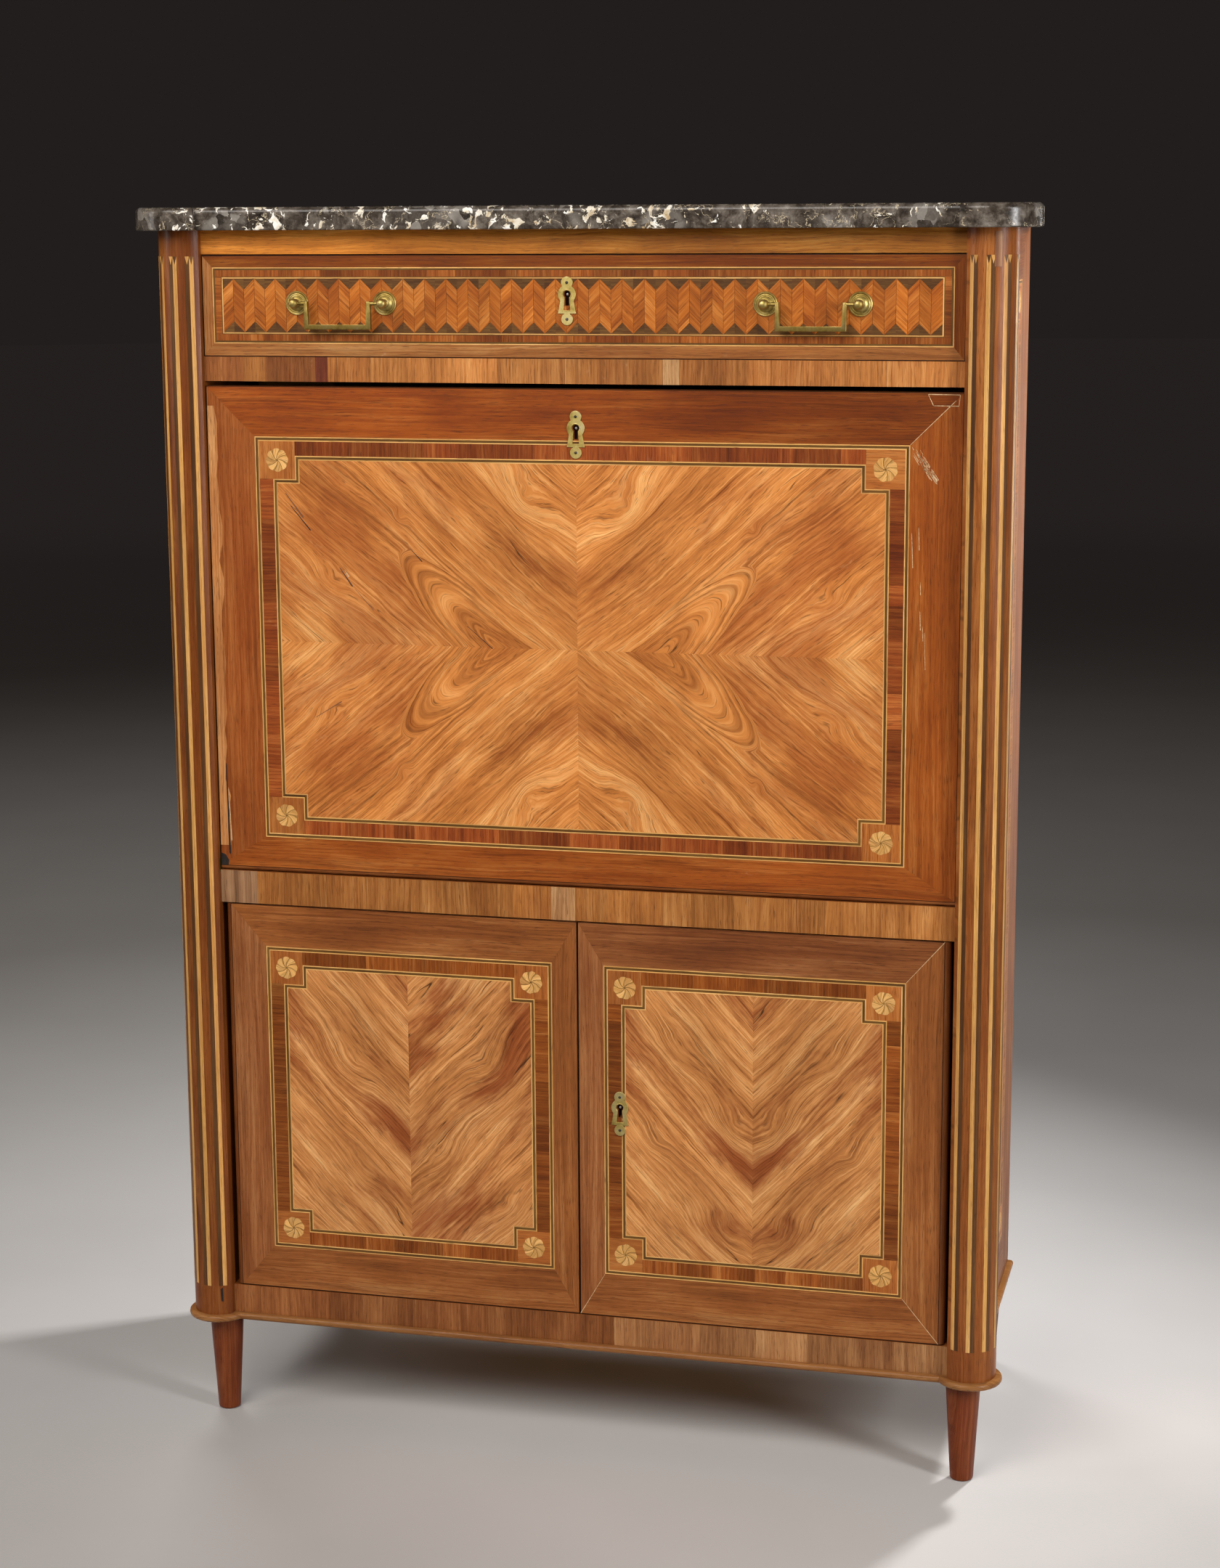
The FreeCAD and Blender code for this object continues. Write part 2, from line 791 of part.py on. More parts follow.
def flap_panel():
    """The flap's board, with its lower front edge rounded about the pivot line."""
    board = box(-flap_half, flap_half, 0, flap_thickness, flap_bottom_z, flap_top_z)
    corner = box(-flap_half, flap_half, 0, flap_pivot_inset, flap_bottom_z, flap_pivot_z)
    nose = rod_x(-flap_half, flap_half, flap_pivot_inset, flap_pivot_z, flap_pivot_inset)
    board = board.cut(corner.cut(nose))
    tools = both(flap_leaf_block()) + [leather_block()]
    tools.append(lock_block(flap_keyhole_x, flap_top_z, flap_thickness))
    tools.append(panel_keyhole(flap_keyhole_x, flap_top_z - lock_setback, flap_thickness))
    return cut_all(board, tools)


def flap_stay():
    """A brass quadrant, fixed to the flap and centred on its pivot, with a stop lug on its free end."""
    half = stay_width / 2
    ring = pivot_ring(stay_radius - half, stay_radius + half, stay_inner_x, stay_outer_x)
    reach = 2 * stay_radius
    rear = box(stay_inner_x, stay_outer_x, flap_thickness, flap_thickness + reach,
               flap_pivot_z - reach, flap_pivot_z + reach)
    below = box(stay_inner_x, stay_outer_x, flap_pivot_inset, flap_pivot_inset + reach,
                flap_pivot_z - reach, flap_pivot_z)
    below.rotate(point(0, flap_pivot_inset, flap_pivot_z), X_AXIS, stay_end_angle)
    quadrant = ring.common(rear).cut(below)
    turn = math.radians(stay_end_angle)
    lug = rod_x(stay_inner_x, stay_outer_x + stay_lug_reach, flap_pivot_inset + stay_radius * math.cos(turn),
                flap_pivot_z + stay_radius * math.sin(turn), half)
    foot_z = flap_pivot_z + stay_radius
    plate = box(stay_outer_x - stay_foot_width, stay_outer_x, flap_thickness,
                flap_thickness + stay_foot_thickness, foot_z - stay_foot_length, foot_z)
    return fuse_all([quadrant, lug, plate])


# Doors, modelled on the right; the left one is the mirror image with its own furniture
def door_leaf_block(z0):
    x1 = door_outer_x - door_leaf_margin
    return box(x1 - door_leaf_length, x1, door_leaf_margin, door_leaf_margin + door_leaf_width,
               z0, z0 + door_leaf_thickness)


def door_board():
    """A door's board, with its outer front edge rounded about the pivot line."""
    board = box(door_inner_x, door_outer_x, 0, door_thickness, door_bottom_z, door_top_z)
    corner = box(door_pivot_x, door_outer_x, 0, door_pivot_inset, door_bottom_z, door_top_z)
    nose = rod_z(door_bottom_z, door_top_z, door_pivot_x, door_pivot_inset, door_pivot_inset)
    board = board.cut(corner.cut(nose))
    leaves = [door_leaf_block(door_bottom_z), door_leaf_block(door_top_z - door_leaf_thickness)]
    return cut_all(board, leaves)


def door_hinges():
    """The two brass leaves of the right door, each with its pin."""
    low = door_leaf_block(door_bottom_z)
    low_pin = rod_z(door_bottom_z - door_end_gap - door_pin_reach, door_bottom_z + door_leaf_thickness,
                    door_pivot_x, door_pivot_inset, door_pivot_radius)
    high = door_leaf_block(door_top_z - door_leaf_thickness)
    high_pin = rod_z(door_top_z - door_leaf_thickness, door_top_z + door_end_gap + door_pin_reach,
                     door_pivot_x, door_pivot_inset, door_pivot_radius)
    return [low.fuse(low_pin), high.fuse(high_pin)]


door_keyhole_x = door_inner_x + door_lock_setback
door_keyhole_z = door_opening_z + door_keyhole_height


def door_lock_block():
    half = lock_width / 2
    return box(door_inner_x, door_keyhole_x + lock_tail, door_thickness - lock_depth, door_thickness,
               door_keyhole_z - half, door_keyhole_z + half)


def door_lock_bolt(slack):
    half_z = bolt_width / 2 + slack
    half_d = bolt_thickness / 2 + slack
    d = lock_bolt_d(door_thickness)
    start = door_inner_x if slack else door_inner_x + bolt_inset
    return box(start, door_inner_x + bolt_inset + bolt_length + slack, d - half_d, d + half_d,
               door_keyhole_z - half_z, door_keyhole_z + half_z)


def door_lock():
    pin = rod_y(door_thickness / 4, door_thickness - lock_depth, door_keyhole_x, door_keyhole_z,
                key_pin_radius)
    return door_lock_block().cut(door_lock_bolt(slide_gap)).fuse(pin)


def right_door_panel():
    keyhole = panel_keyhole(door_keyhole_x, door_keyhole_z, door_thickness)
    return cut_all(door_board(), [door_lock_block(), keyhole])


def left_door_panel():
    """The left door, mortised in its meeting edge for the right door's bolt."""
    half_z = bolt_width / 2 + mortise_slack
    half_d = bolt_thickness / 2 + mortise_slack
    d = lock_bolt_d(door_thickness)
    reach = door_bolt_travel + mortise_slack
    mortise = box(-door_inner_x - reach, -door_inner_x, d - half_d, d + half_d,
                  door_keyhole_z - half_z, door_keyhole_z + half_z)
    return mirrored(door_board()).cut(mortise)


def flush_bolt(low_z):
    half_x = flush_bolt_width / 2
    half_d = flush_bolt_thickness / 2
    x = flush_bolt_x()
    d = flush_bolt_d()
    return box(x - half_x, x + half_x, d - half_d, d + half_d, low_z, low_z + flush_bolt_length)


def flush_bolt_plate(low_z):
    """A back plate with two keepers that the bolt slides in."""
    x = flush_bolt_x()
    half = bolt_plate_width / 2
    plate = box(x - half, x + half, door_thickness, door_thickness + bolt_plate_thickness,
                low_z, low_z + flush_bolt_length)
    keeper_d = flush_bolt_d() + flush_bolt_thickness / 2 + slide_gap + bolt_keeper_wall
    keeper_half = flush_bolt_width / 2 + slide_gap + bolt_keeper_wall
    pieces = [plate]
    for z in (low_z + bolt_keeper_height, low_z + flush_bolt_length - 2 * bolt_keeper_height):
        pieces.append(box(x - keeper_half, x + keeper_half, door_thickness, keeper_d,
                          z, z + bolt_keeper_height))
    half_x = flush_bolt_width / 2 + slide_gap
    channel = box(x - half_x, x + half_x, door_thickness + bolt_plate_thickness,
                  keeper_d - bolt_keeper_wall, low_z, low_z + flush_bolt_length)
    return fuse_all(pieces).cut(channel)


upper_flush_z = door_top_z - flush_bolt_inset - flush_bolt_length
lower_flush_z = door_bottom_z + flush_bolt_inset


def door_stop():
    return box(door_stop_inset, door_stop_inset + door_stop_length, door_thickness + slide_gap,
               deep_rail_depth, middle_rail_z - door_stop_height, middle_rail_z)


# Cupboard shelf
shelf_z = door_opening_z + shelf_height


def shelf():
    return box(-bay, bay, deep_rail_depth, back_d, shelf_z, shelf_z + shelf_thickness)


def shelf_cleat():
    return box(side_inner_x - shelf_cleat_width, side_inner_x, corner_post_depth + shelf_cleat_setback,
               case_depth - rear_post_depth, shelf_z - shelf_cleat_height, shelf_z)


# Writing compartment fitting
dust_board_z = drawer_opening_z - dust_board_thickness
nest_x = bay - nest_side_gap
nest_inner_x = nest_x - nest_board
nest_shelf_z = writing_z + nest_drawer_zone
upper_shelf_z = nest_shelf_z + nest_board + nest_pigeonhole_height
niche_x = nest_niche_width / 2
stack_x = niche_x + nest_board
inner_shelf_z = writing_z + (nest_drawer_zone - inner_drawer_shelf) / 2


def nest_side():
    return box(nest_inner_x, nest_x, nest_setback, back_d, writing_z, dust_board_z)


def nest_shelves():
    """The shelf over the small drawers, the shelf over the pigeonholes, and one between stacked drawers."""
    main = box(-nest_inner_x, nest_inner_x, nest_setback, back_d, nest_shelf_z, nest_shelf_z + nest_board)
    upper = box(-nest_inner_x, nest_inner_x, nest_setback, back_d, upper_shelf_z, upper_shelf_z + nest_board)
    stack = box(stack_x, nest_inner_x, nest_setback, back_d,
                inner_shelf_z, inner_shelf_z + inner_drawer_shelf)
    return [main, upper] + both(stack)


def nest_upright():
    return box(niche_x, stack_x, nest_setback, back_d, writing_z, nest_shelf_z)


def pigeonhole_dividers():
    pitch = 2 * nest_inner_x / pigeonhole_count
    half = pigeonhole_board / 2
    dividers = []
    for i in range(1, pigeonhole_count):
        x = -nest_inner_x + i * pitch
        dividers.append(box(x - half, x + half, nest_setback, back_d,
                            nest_shelf_z + nest_board, upper_shelf_z))
    return dividers


def inner_drawer(z0, z1):
    """A small drawer of the right-hand stack: front, sides, back, bottom and a turned knob."""
    gap = inner_drawer_gap
    wall = inner_drawer_wall
    x0 = stack_x + gap
    x1 = nest_inner_x - gap
    low = z0 + slide_gap
    high = z1 - gap
    front_d = nest_setback + inner_drawer_front
    back_end = back_d - inner_drawer_rear_gap
    pieces = [box(x0, x1, nest_setback, front_d, low, high)]
    pieces.append(box(x0, x0 + wall, front_d, back_end, low, high - wall))
    pieces.append(box(x1 - wall, x1, front_d, back_end, low, high - wall))
    pieces.append(box(x0 + wall, x1 - wall, back_end - wall, back_end, low, high - wall))
    pieces.append(box(x0 + wall, x1 - wall, front_d, back_end - wall, low, low + wall))
    return pieces + [knob((x0 + x1) / 2, (low + high) / 2)]


def knob(x, z):
    """A turned brass knob on the face of a small drawer."""
    swell = knob_neck_length + knob_swell_length
    rim = swell + knob_rim_length
    crown = rim + knob_crown_length
    outline = [
        (0, 0),
        (knob_neck_radius, 0),
        (knob_neck_radius, knob_neck_length),
        (knob_radius, swell),
        (knob_radius, rim),
        (knob_neck_radius, crown),
        (0, crown),
    ]
    profile = [point(x + r, nest_setback - h, z) for r, h in outline]
    return turned(profile, point(x, nest_setback, z), Y_AXIS)


os.makedirs("parts", exist_ok=True)

node("marble_top", marble())
node("right_corner_post", corner_post())
node("left_corner_post", mirrored(corner_post()))
node("rear_posts", *both(rear_post()))
node("right_side_panel", side_panel())
node("left_side_panel", mirrored(side_panel()))
node("back_planks", *back_planks())
node("top_board", box(-bay, bay, rail_thickness, back_d, case_top_z - top_board_thickness, case_top_z))
node("frieze_rail", frieze_rail())
node("drawer_rail", drawer_rail())
node("dust_board", box(-bay, bay, deep_rail_depth, back_d, dust_board_z, drawer_opening_z))
node("drawer_guides", *both(box(bay, side_inner_x, corner_post_depth, case_depth - rear_post_depth,
                                drawer_opening_z, drawer_opening_z + drawer_guide_height)))
node("middle_rail", middle_rail())
node("writing_floor", writing_floor())
node("bottom_rail", bottom_rail())
node("bottom_board", bottom_board())
node("base_moulding", *base_moulding())
node("front_feet", *both(foot(bay + front_foot_out, front_foot_back)))
node("rear_feet", *both(foot(side_x - rear_foot_inset, case_depth - rear_foot_inset)))
node("cupboard_shelf", shelf())
node("shelf_cleats", *both(shelf_cleat()))
node("door_stops", *both(door_stop()))
node("nest_sides", *both(nest_side()))
node("nest_shelves", *nest_shelves())
node("nest_dividers", *both(nest_upright()), *pigeonhole_dividers())
node("flap_pivot_plates", *both(pivot_plate()))
node("door_hinge_plates", *door_hinge_plates())

node("drawer_front", drawer_front())
node("drawer_sides", *both(drawer_side()))
node("drawer_back", drawer_back())
node("drawer_bottom", drawer_bottom())
node("handle_rosettes", *[rosette(x) for x, side in handle_posts_x()])
node("handle_posts", *[handle_post(x, side) for x, side in handle_posts_x()])
node("handle_nuts", *[handle_nut(x) for x, side in handle_posts_x()])
node("left_bail", bail(-handle_spacing / 2))
node("right_bail", bail(handle_spacing / 2))
node("drawer_escutcheon", escutcheon(drawer_keyhole_x, drawer_top_z - lock_setback))
node("drawer_lock", lock(drawer_keyhole_x, drawer_top_z, drawer_front_thickness))
node("drawer_lock_bolt", lock_bolt(drawer_keyhole_x, drawer_top_z, drawer_front_thickness, 0))

node("flap_panel", flap_panel())
node("flap_leather", leather_block())
node("flap_pivots", *both(flap_pivot()))
node("flap_stays", *both(flap_stay()))
node("flap_escutcheon", escutcheon(flap_keyhole_x, flap_top_z - lock_setback))
node("flap_lock", lock(flap_keyhole_x, flap_top_z, flap_thickness))
node("flap_lock_bolt", lock_bolt(flap_keyhole_x, flap_top_z, flap_thickness, 0))

node("right_door_panel", right_door_panel())
node("right_door_hinges", *door_hinges())
node("door_escutcheon", escutcheon(door_keyhole_x, door_keyhole_z))
node("door_lock", door_lock())
node("door_lock_bolt", door_lock_bolt(0))
node("left_door_panel", left_door_panel())
node("left_door_hinges", *[mirrored(leaf) for leaf in door_hinges()])
node("left_door_bolt_plates", flush_bolt_plate(upper_flush_z), flush_bolt_plate(lower_flush_z))
node("left_door_top_bolt", flush_bolt(upper_flush_z))
node("left_door_bottom_bolt", flush_bolt(lower_flush_z))

for row, z0, z1 in (("lower", writing_z, inner_shelf_z),
                    ("upper", inner_shelf_z + inner_drawer_shelf, nest_shelf_z)):
    solids = inner_drawer(z0, z1)
    node(row + "_right_small_drawer", *solids)
    node(row + "_left_small_drawer", *[mirrored(solid) for solid in solids])
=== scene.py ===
import math
import random

import bmesh
import bpy
from mathutils import Matrix, Vector


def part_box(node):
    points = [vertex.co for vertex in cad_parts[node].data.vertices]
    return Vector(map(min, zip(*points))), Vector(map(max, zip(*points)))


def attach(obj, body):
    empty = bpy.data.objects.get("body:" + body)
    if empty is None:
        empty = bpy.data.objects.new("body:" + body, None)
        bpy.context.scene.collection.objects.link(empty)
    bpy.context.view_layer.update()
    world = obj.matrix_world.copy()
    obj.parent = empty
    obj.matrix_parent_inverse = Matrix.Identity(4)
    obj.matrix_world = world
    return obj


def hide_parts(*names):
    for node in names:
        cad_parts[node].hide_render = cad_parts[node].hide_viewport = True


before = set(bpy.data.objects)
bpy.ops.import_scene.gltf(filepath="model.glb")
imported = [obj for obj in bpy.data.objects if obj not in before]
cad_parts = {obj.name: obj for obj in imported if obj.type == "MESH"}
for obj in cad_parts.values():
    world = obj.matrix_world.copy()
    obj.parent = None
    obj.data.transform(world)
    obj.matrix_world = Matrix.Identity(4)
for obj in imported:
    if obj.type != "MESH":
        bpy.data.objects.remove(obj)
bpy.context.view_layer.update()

scene = bpy.context.scene
scene.view_settings.view_transform = "Standard"

# Lengths are millimetres: x to the viewer's right, d rearwards from the plane of the front rails, z up from
# the floor. MM turns them into scene units.
MM = 0.001
sides = {"left": -1, "right": 1}


def edges(node):
    """A node's box in millimetres, as x0, x1, y0, y1, z0, z1."""
    low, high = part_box(node)
    return [value / MM for pair in zip(low, high) for value in pair]


# Half the width between the posts, to a thousandth, and the plane of the front rails
bay = round(edges("frieze_rail")[1], 3)
front_y = edges("frieze_rail")[2]
case_top = edges("frieze_rail")[5]
side_x = edges("right_side_panel")[1]

# Veneer: how far it and its inlay stand over the board, its joints, the dark strip of painted shade round its
# edge and its strings
veneer_rise = 0.3
inlay_rise = 0.03
inlay_level = veneer_rise + inlay_rise
fine_joint = 0.12
chevron_joint = 0.2
gap_shade_width = 0.6
string_light = 1.2
string_dark = 2.6


# Node helpers

def tone(code):
    """A display colour written as six hex digits, as linear light."""
    channels = [int(code[i:i + 2], 16) / 255 for i in (0, 2, 4)]
    linear = [c / 12.92 if c <= 0.04045 else ((c + 0.055) / 1.055) ** 2.4 for c in channels]
    return (*linear, 1.0)


class Value:
    """A node's output; arithmetic with it adds Math nodes."""

    def __init__(self, graph, socket):
        self.graph = graph
        self.socket = socket

    def __add__(self, other):
        return self.graph.math("ADD", self, other)

    def __sub__(self, other):
        return self.graph.math("SUBTRACT", self, other)

    def __mul__(self, other):
        return self.graph.math("MULTIPLY", self, other)

    def __truediv__(self, other):
        return self.graph.math("DIVIDE", self, other)

    def __abs__(self):
        return self.graph.math("ABSOLUTE", self)


class Graph:
    """A node tree; each method that adds a node returns its output."""

    def __init__(self, tree):
        self.tree = tree

    def feed(self, socket, value):
        if isinstance(value, Value):
            self.tree.links.new(value.socket, socket)
        else:
            socket.default_value = value

    def add(self, kind, output, inputs, **settings):
        node = self.tree.nodes.new("ShaderNode" + kind)
        for name, value in settings.items():
            setattr(node, name, value)
        for key, value in inputs.items():
            self.feed(node.inputs[key], value)
        return Value(self, node.outputs[output])

    def math(self, operation, *values):
        return self.add("Math", 0, dict(enumerate(values)), operation=operation)

    def mix(self, share, a, b, kind="MIX"):
        return self.add("Mix", 2, {0: share, 6: a, 7: b}, data_type="RGBA", blend_type=kind)


class Surface(Graph):
    """A material built node by node; colour is its colour so far."""

    def __init__(self, name):
        self.material = bpy.data.materials.new(name)
        self.material.use_nodes = True
        super().__init__(self.material.node_tree)
        self.shader = self.tree.nodes["Principled BSDF"]
        self.colour = None

    def vector(self, x, y, z):
        return self.add("CombineXYZ", 0, {0: x, 1: y, 2: z})

    def parts(self, vector):
        node = self.add("SeparateXYZ", 0, {0: vector}).socket.node
        return [Value(self, output) for output in node.outputs]

    def length(self, a, b):
        return self.add("VectorMath", "Value", {0: self.vector(a, b, 0.0)}, operation="LENGTH")

    def noise(self, where, scale=1.0, detail=2.0, rough=0.5, warp=0.0, output="Fac"):
        """Noise at a vector, or at three numbers."""
        spot = self.vector(*where) if isinstance(where, tuple) else where
        inputs = {"Vector": spot, "Scale": scale, "Detail": detail, "Roughness": rough, "Distortion": warp}
        return self.add("TexNoise", output, inputs)

    def cells(self, where, scale, output="Distance"):
        return self.add("TexVoronoi", output, {"Vector": where, "Scale": scale})

    def between(self, value, low, high, to_low=0.0, to_high=1.0):
        """A smooth step from one number to another as a value goes from low to high."""
        inputs = dict(enumerate((value, low, high, to_low, to_high)))
        return self.add("MapRange", 0, inputs, interpolation_type="SMOOTHSTEP")

    def own_light(self, w, varied):
        """A lightness for each piece that w tells apart, up to varied from 1."""
        number = self.math("FLOOR", w * 100.0 + 0.5)
        chance = self.add("TexWhiteNoise", "Value", {"W": number}, noise_dimensions="1D")
        return self.between(chance, 0.0, 1.0, 1.0 - varied, 1.0 + varied)

    def near(self, value, target, width):
        """1 where a value meets a target, falling to 0 at a width from it."""
        return self.between(abs(value - target), 0.0, width, 1.0, 0.0)

    def ramp(self, factor, stops):
        colour = self.add("ValToRGB", "Color", {"Fac": factor})
        band = colour.socket.node.color_ramp
        while len(band.elements) < len(stops):
            band.elements.new(0.5)
        for element, (place, code) in zip(band.elements, stops):
            element.position = place
            element.color = tone(code)
        return colour

    def mark(self, mask, colour, kind="MIX"):
        """Lays a colour, as a value or a code, over the surface where the mask says."""
        over = colour if isinstance(colour, Value) else tone(colour)
        self.colour = self.mix(mask, self.colour, over, kind)

    def shade(self, value):
        self.colour = self.add("HueSaturation", 0, {"Color": self.colour, "Value": value})

    def relief(self, height, strength, depth):
        normal = self.add("Bump", 0, {"Height": height, "Strength": strength, "Distance": depth})
        self.feed(self.shader.inputs["Normal"], normal)

    def place(self):
        return self.add("TexCoord", "Object", {})

    def along(self, axis):
        """Coordinates u along the grain, v across it, and w that tells pieces apart.

        On a solid board v grows along both cross axes, so that each of its long faces shows the lines.
        """
        if axis == "grain":
            return self.parts(self.add("Attribute", "Vector", {}, attribute_name="grain"))
        x, y, z = self.parts(self.place())
        u, a, b = {"x": (x, z, y), "y": (y, z, x), "z": (z, x, y)}[axis]
        return u, a + b, 0.0

    def finish(self, roughness, metallic=0.0, specular=0.5):
        self.feed(self.shader.inputs["Base Color"], self.colour)
        self.feed(self.shader.inputs["Roughness"], roughness)
        self.shader.inputs["Metallic"].default_value = metallic
        self.shader.inputs["Specular IOR Level"].default_value = specular
        return self.material


# Materials. Noise along the grain is placed by u, v and w, each times how often it changes in a metre.

patch_tone = "a4643a"
streak_tone = "54270e"
rim_tone = "6b3410"
dash_tone = "4a220c"
pore_tone = "3a1d0c"
crack_tone = "2c1408"
scuff_tone = "d9b58c"
worm_tone = "1c0f08"
dust_tone = "a39a8e"
oak_pore_tone = "2b1a0e"
vein_tone = "d2c2a4"
oak_places = (0.30, 0.45, 0.55, 0.70)
brass_places = (0.30, 0.46, 0.60, 0.76)
iron_places = (0.32, 0.5, 0.66, 0.8)
metal_places = (0.32, 0.5, 0.7)
dust_places = (0.35, 0.65)

# The width of the seam between a hairpin and the straight lines round it, and how far along its rims come in
hairpin_seam = 2.5
rim_start = 70.0


def stops(tones, places):
    return list(zip(places, tones.split()))


def blend_hex(a, b, share):
    mixed = [round(int(a[i:i + 2], 16) * (1 - share) + int(b[i:i + 2], 16) * share) for i in (0, 2, 4)]
    return "%02x%02x%02x" % tuple(mixed)


def shades(tones):
    """Five stops for a wood, from the tones of its darkest lines, its middle and its palest lines."""
    dark, middle, light = tones.split()
    return [(0.08, dark), (0.30, blend_hex(dark, middle, 0.62)), (0.50, middle),
            (0.70, blend_hex(middle, light, 0.5)), (0.92, light)]


def hairpin(s, u, v, heart):
    """Straight lines with one long arch let into them, as where a leaf cuts the heart of the log."""
    u0, v0, tilt, reach = heart
    across = v - v0 * MM
    climb = s.math("MAXIMUM", u - u0 * MM, 0.0) * tilt
    far = s.length(across, climb)
    inside = s.between(far, reach * MM, (reach + hairpin_seam) * MM, 1.0, 0.0)
    return across + inside * (far - across)


def swirl(s, u, v, w, knot):
    """A swelling that turns the lines of the grain round a knot."""
    u0, v0, reach, stretch, rise = knot
    sway = s.parts(s.noise((u * 30.0, v * 30.0, w * 3.0), detail=3.0, output="Color"))
    along = u - u0 * MM + (sway[0] - 0.5) * 0.02
    across = v - v0 * MM + (sway[1] - 0.5) * 0.012
    far = s.length(along / (reach * stretch * MM), across / (reach * MM))
    return s.math("EXPONENT", far * far * -1.0) * (rise * MM)


def wood(name, tones, axis="grain", lines=130.0, wander=0.014, heart=None, knots=(), rims=(), contrast=2.2,
         streaks=0.45, cracks=0.0, varied=0.16, gloss=0.38, worm=0.0, scuffs=0.0, dashes=0.45, patches=0.25,
         fade=None):
    """Polished wood: growth bands along the grain, fibres, pores, a tone of its own for each piece, and,
    where a fade is given, painted light and shade that ramp along the grain.
    """
    s = Surface(name)
    u, v, w = s.along(axis)
    drift = s.noise((u * 5.0, v * 13.0, w * 3.1), detail=4.0)
    bent = v + (drift - 0.5) * wander
    g = hairpin(s, u, bent, heart) if heart else bent
    for knot in knots:
        g = g + swirl(s, u, bent, w, knot)
    leaf = w * 5.3 + v * 7.0 if heart else w * 5.3

    bands = s.noise((u * 2.2, g * lines, leaf), detail=6.0, rough=0.68)
    broad = s.noise((u * 2.6, g * (lines * 0.15), leaf), detail=3.0)
    fibres = s.noise((u * 9.0, g * 420.0, leaf), detail=4.0, rough=0.75)
    mottle = s.noise((u * 9.0, g * 30.0, leaf + 3.0), detail=5.0, rough=0.6)
    figure = (bands * 0.22 + broad * 0.18 + (fibres * 0.36 + mottle * 0.24) - 0.5) * contrast + 0.5
    s.colour = s.ramp(figure, shades(tones))

    patch = s.noise((u * 4.5, g * 15.0, w + 5.0), detail=5.0, rough=0.62)
    s.mark(s.between(patch, 0.47, 0.63) * patches, patch_tone, "MULTIPLY")
    line = s.noise((u * 1.4, g * (lines * 0.9), w * 7.7))
    strong = s.noise((u * 6.0, g * 45.0, w * 1.3))
    s.mark(s.near(line, 0.5, 0.04) * s.between(strong, 0.42, 0.64) * streaks, streak_tone)
    for radius, width, depth in rims:
        reached = s.between(u, heart[0] * MM, (heart[0] + rim_start) * MM)
        s.mark(s.near(g, radius * MM, width * MM) * reached * depth, rim_tone)
    stroke = s.noise((u * 15.0, g * 520.0, w * 2.3), detail=3.0, rough=0.6)
    cluster = s.noise((u * 6.0, g * 22.0, w + 2.0), detail=3.0)
    s.mark(s.between(stroke, 0.55, 0.70) * s.between(cluster, 0.40, 0.62, 0.15, 1.0) * dashes, dash_tone)
    pores = s.between(s.noise((u * 70.0, g * 1300.0, w * 1.7), detail=1.0), 0.58, 0.72)
    s.mark(pores * 0.5, pore_tone)

    if cracks:
        line = s.noise((u * 2.4, g * 52.0, w * 9.1), detail=1.0)
        broken = s.noise((u * 20.0, g * 60.0, w))
        s.mark(s.near(line, 0.5, 0.006) * s.between(broken, 0.53, 0.62) * cracks, crack_tone)
    if scuffs:
        worn = s.noise((u * 40.0, v * 70.0, w), detail=5.0, rough=0.7)
        place = s.noise((u * 7.0, v * 7.0, w + 4.0), detail=1.0)
        s.mark(s.between(worn, 0.58, 0.70) * s.between(place, 0.60, 0.72) * scuffs, scuff_tone)
    if worm:
        spot = s.vector(u, v, 0.0)
        hole = s.between(s.cells(spot, 46.0), 0.028, 0.04, 1.0, 0.0)
        chosen = s.parts(s.cells(spot, 46.0, "Color"))[0]
        s.mark(hole * s.between(chosen, 1.0 - worm, 1.0 - worm + 0.01), worm_tone)

    light = s.between(s.noise((u * 5.0, v * 9.0, w)), 0.25, 0.75, 0.9, 1.1)
    if axis == "grain":
        light = light * s.own_light(w, varied)
    # Painted light and shade: a fade makes the piece lighter or darker along its grain, as the light falls on
    # it.
    if fade:
        light = light * s.between(u, *fade)
    s.shade(light)
    s.relief(fibres * 0.5 - pores, 0.22, 0.00012)
    return s.finish(s.between(figure, 0.2, 0.8, gloss + 0.07, gloss - 0.05), specular=0.2)


def marble(name):
    """Dark shell marble: grey clasts and mottling, crisp broken shells in drifts, and fine pale veins."""
    s = Surface(name)
    place = s.place()
    sway = s.noise(place, 28.0, 4.0, output="Color")
    bent = s.add("VectorMath", 0, {0: sway, 1: (0.03, 0.03, 0.03), 2: place}, operation="MULTIPLY_ADD")
    ground = stops("1a1511 3f3730 625950 857d74", (0.30, 0.46, 0.58, 0.74))
    s.colour = s.ramp(s.noise(bent, 70.0, 7.0, 0.66), ground)
    greys = stops("1f1a16 4b453f 7b756e a39d95", (0.0, 0.45, 0.75, 1.0))
    clast = s.ramp(s.parts(s.cells(bent, 75.0, "Color"))[0], greys)
    s.mark(s.between(s.noise(place, 18.0), 0.48, 0.56) * 0.6, clast)
    across = s.parts(place)[0]
    drifts = s.between(s.noise((across, 0.3, 0.7), 6.0, 3.0), 0.40, 0.62, 0.05, -0.03)
    ears = s.between(abs(across), 0.40, 0.46, 0.0, 0.07)
    shells = s.noise(bent, 76.0, 6.0, 0.6, 0.9) - (drifts + ears + 0.60)
    pale = s.ramp(s.noise(place, 90.0, 3.0), stops("b49a72 dacfba f3f0e9", (0.32, 0.44, 0.6)))
    s.mark(s.between(shells, 0.0, 0.02) * 0.95, pale)
    veins = s.near(s.noise(bent, 34.0, 5.0, 0.6), 0.5, 0.008)
    s.mark(veins * s.between(s.noise(place, 25.0), 0.45, 0.58) * 0.85, vein_tone)
    pits = s.noise(place, 420.0, 3.0)
    s.relief(pits, 0.05, 0.0002)
    return s.finish(s.between(pits, 0.35, 0.7, 0.18, 0.3), specular=0.3)


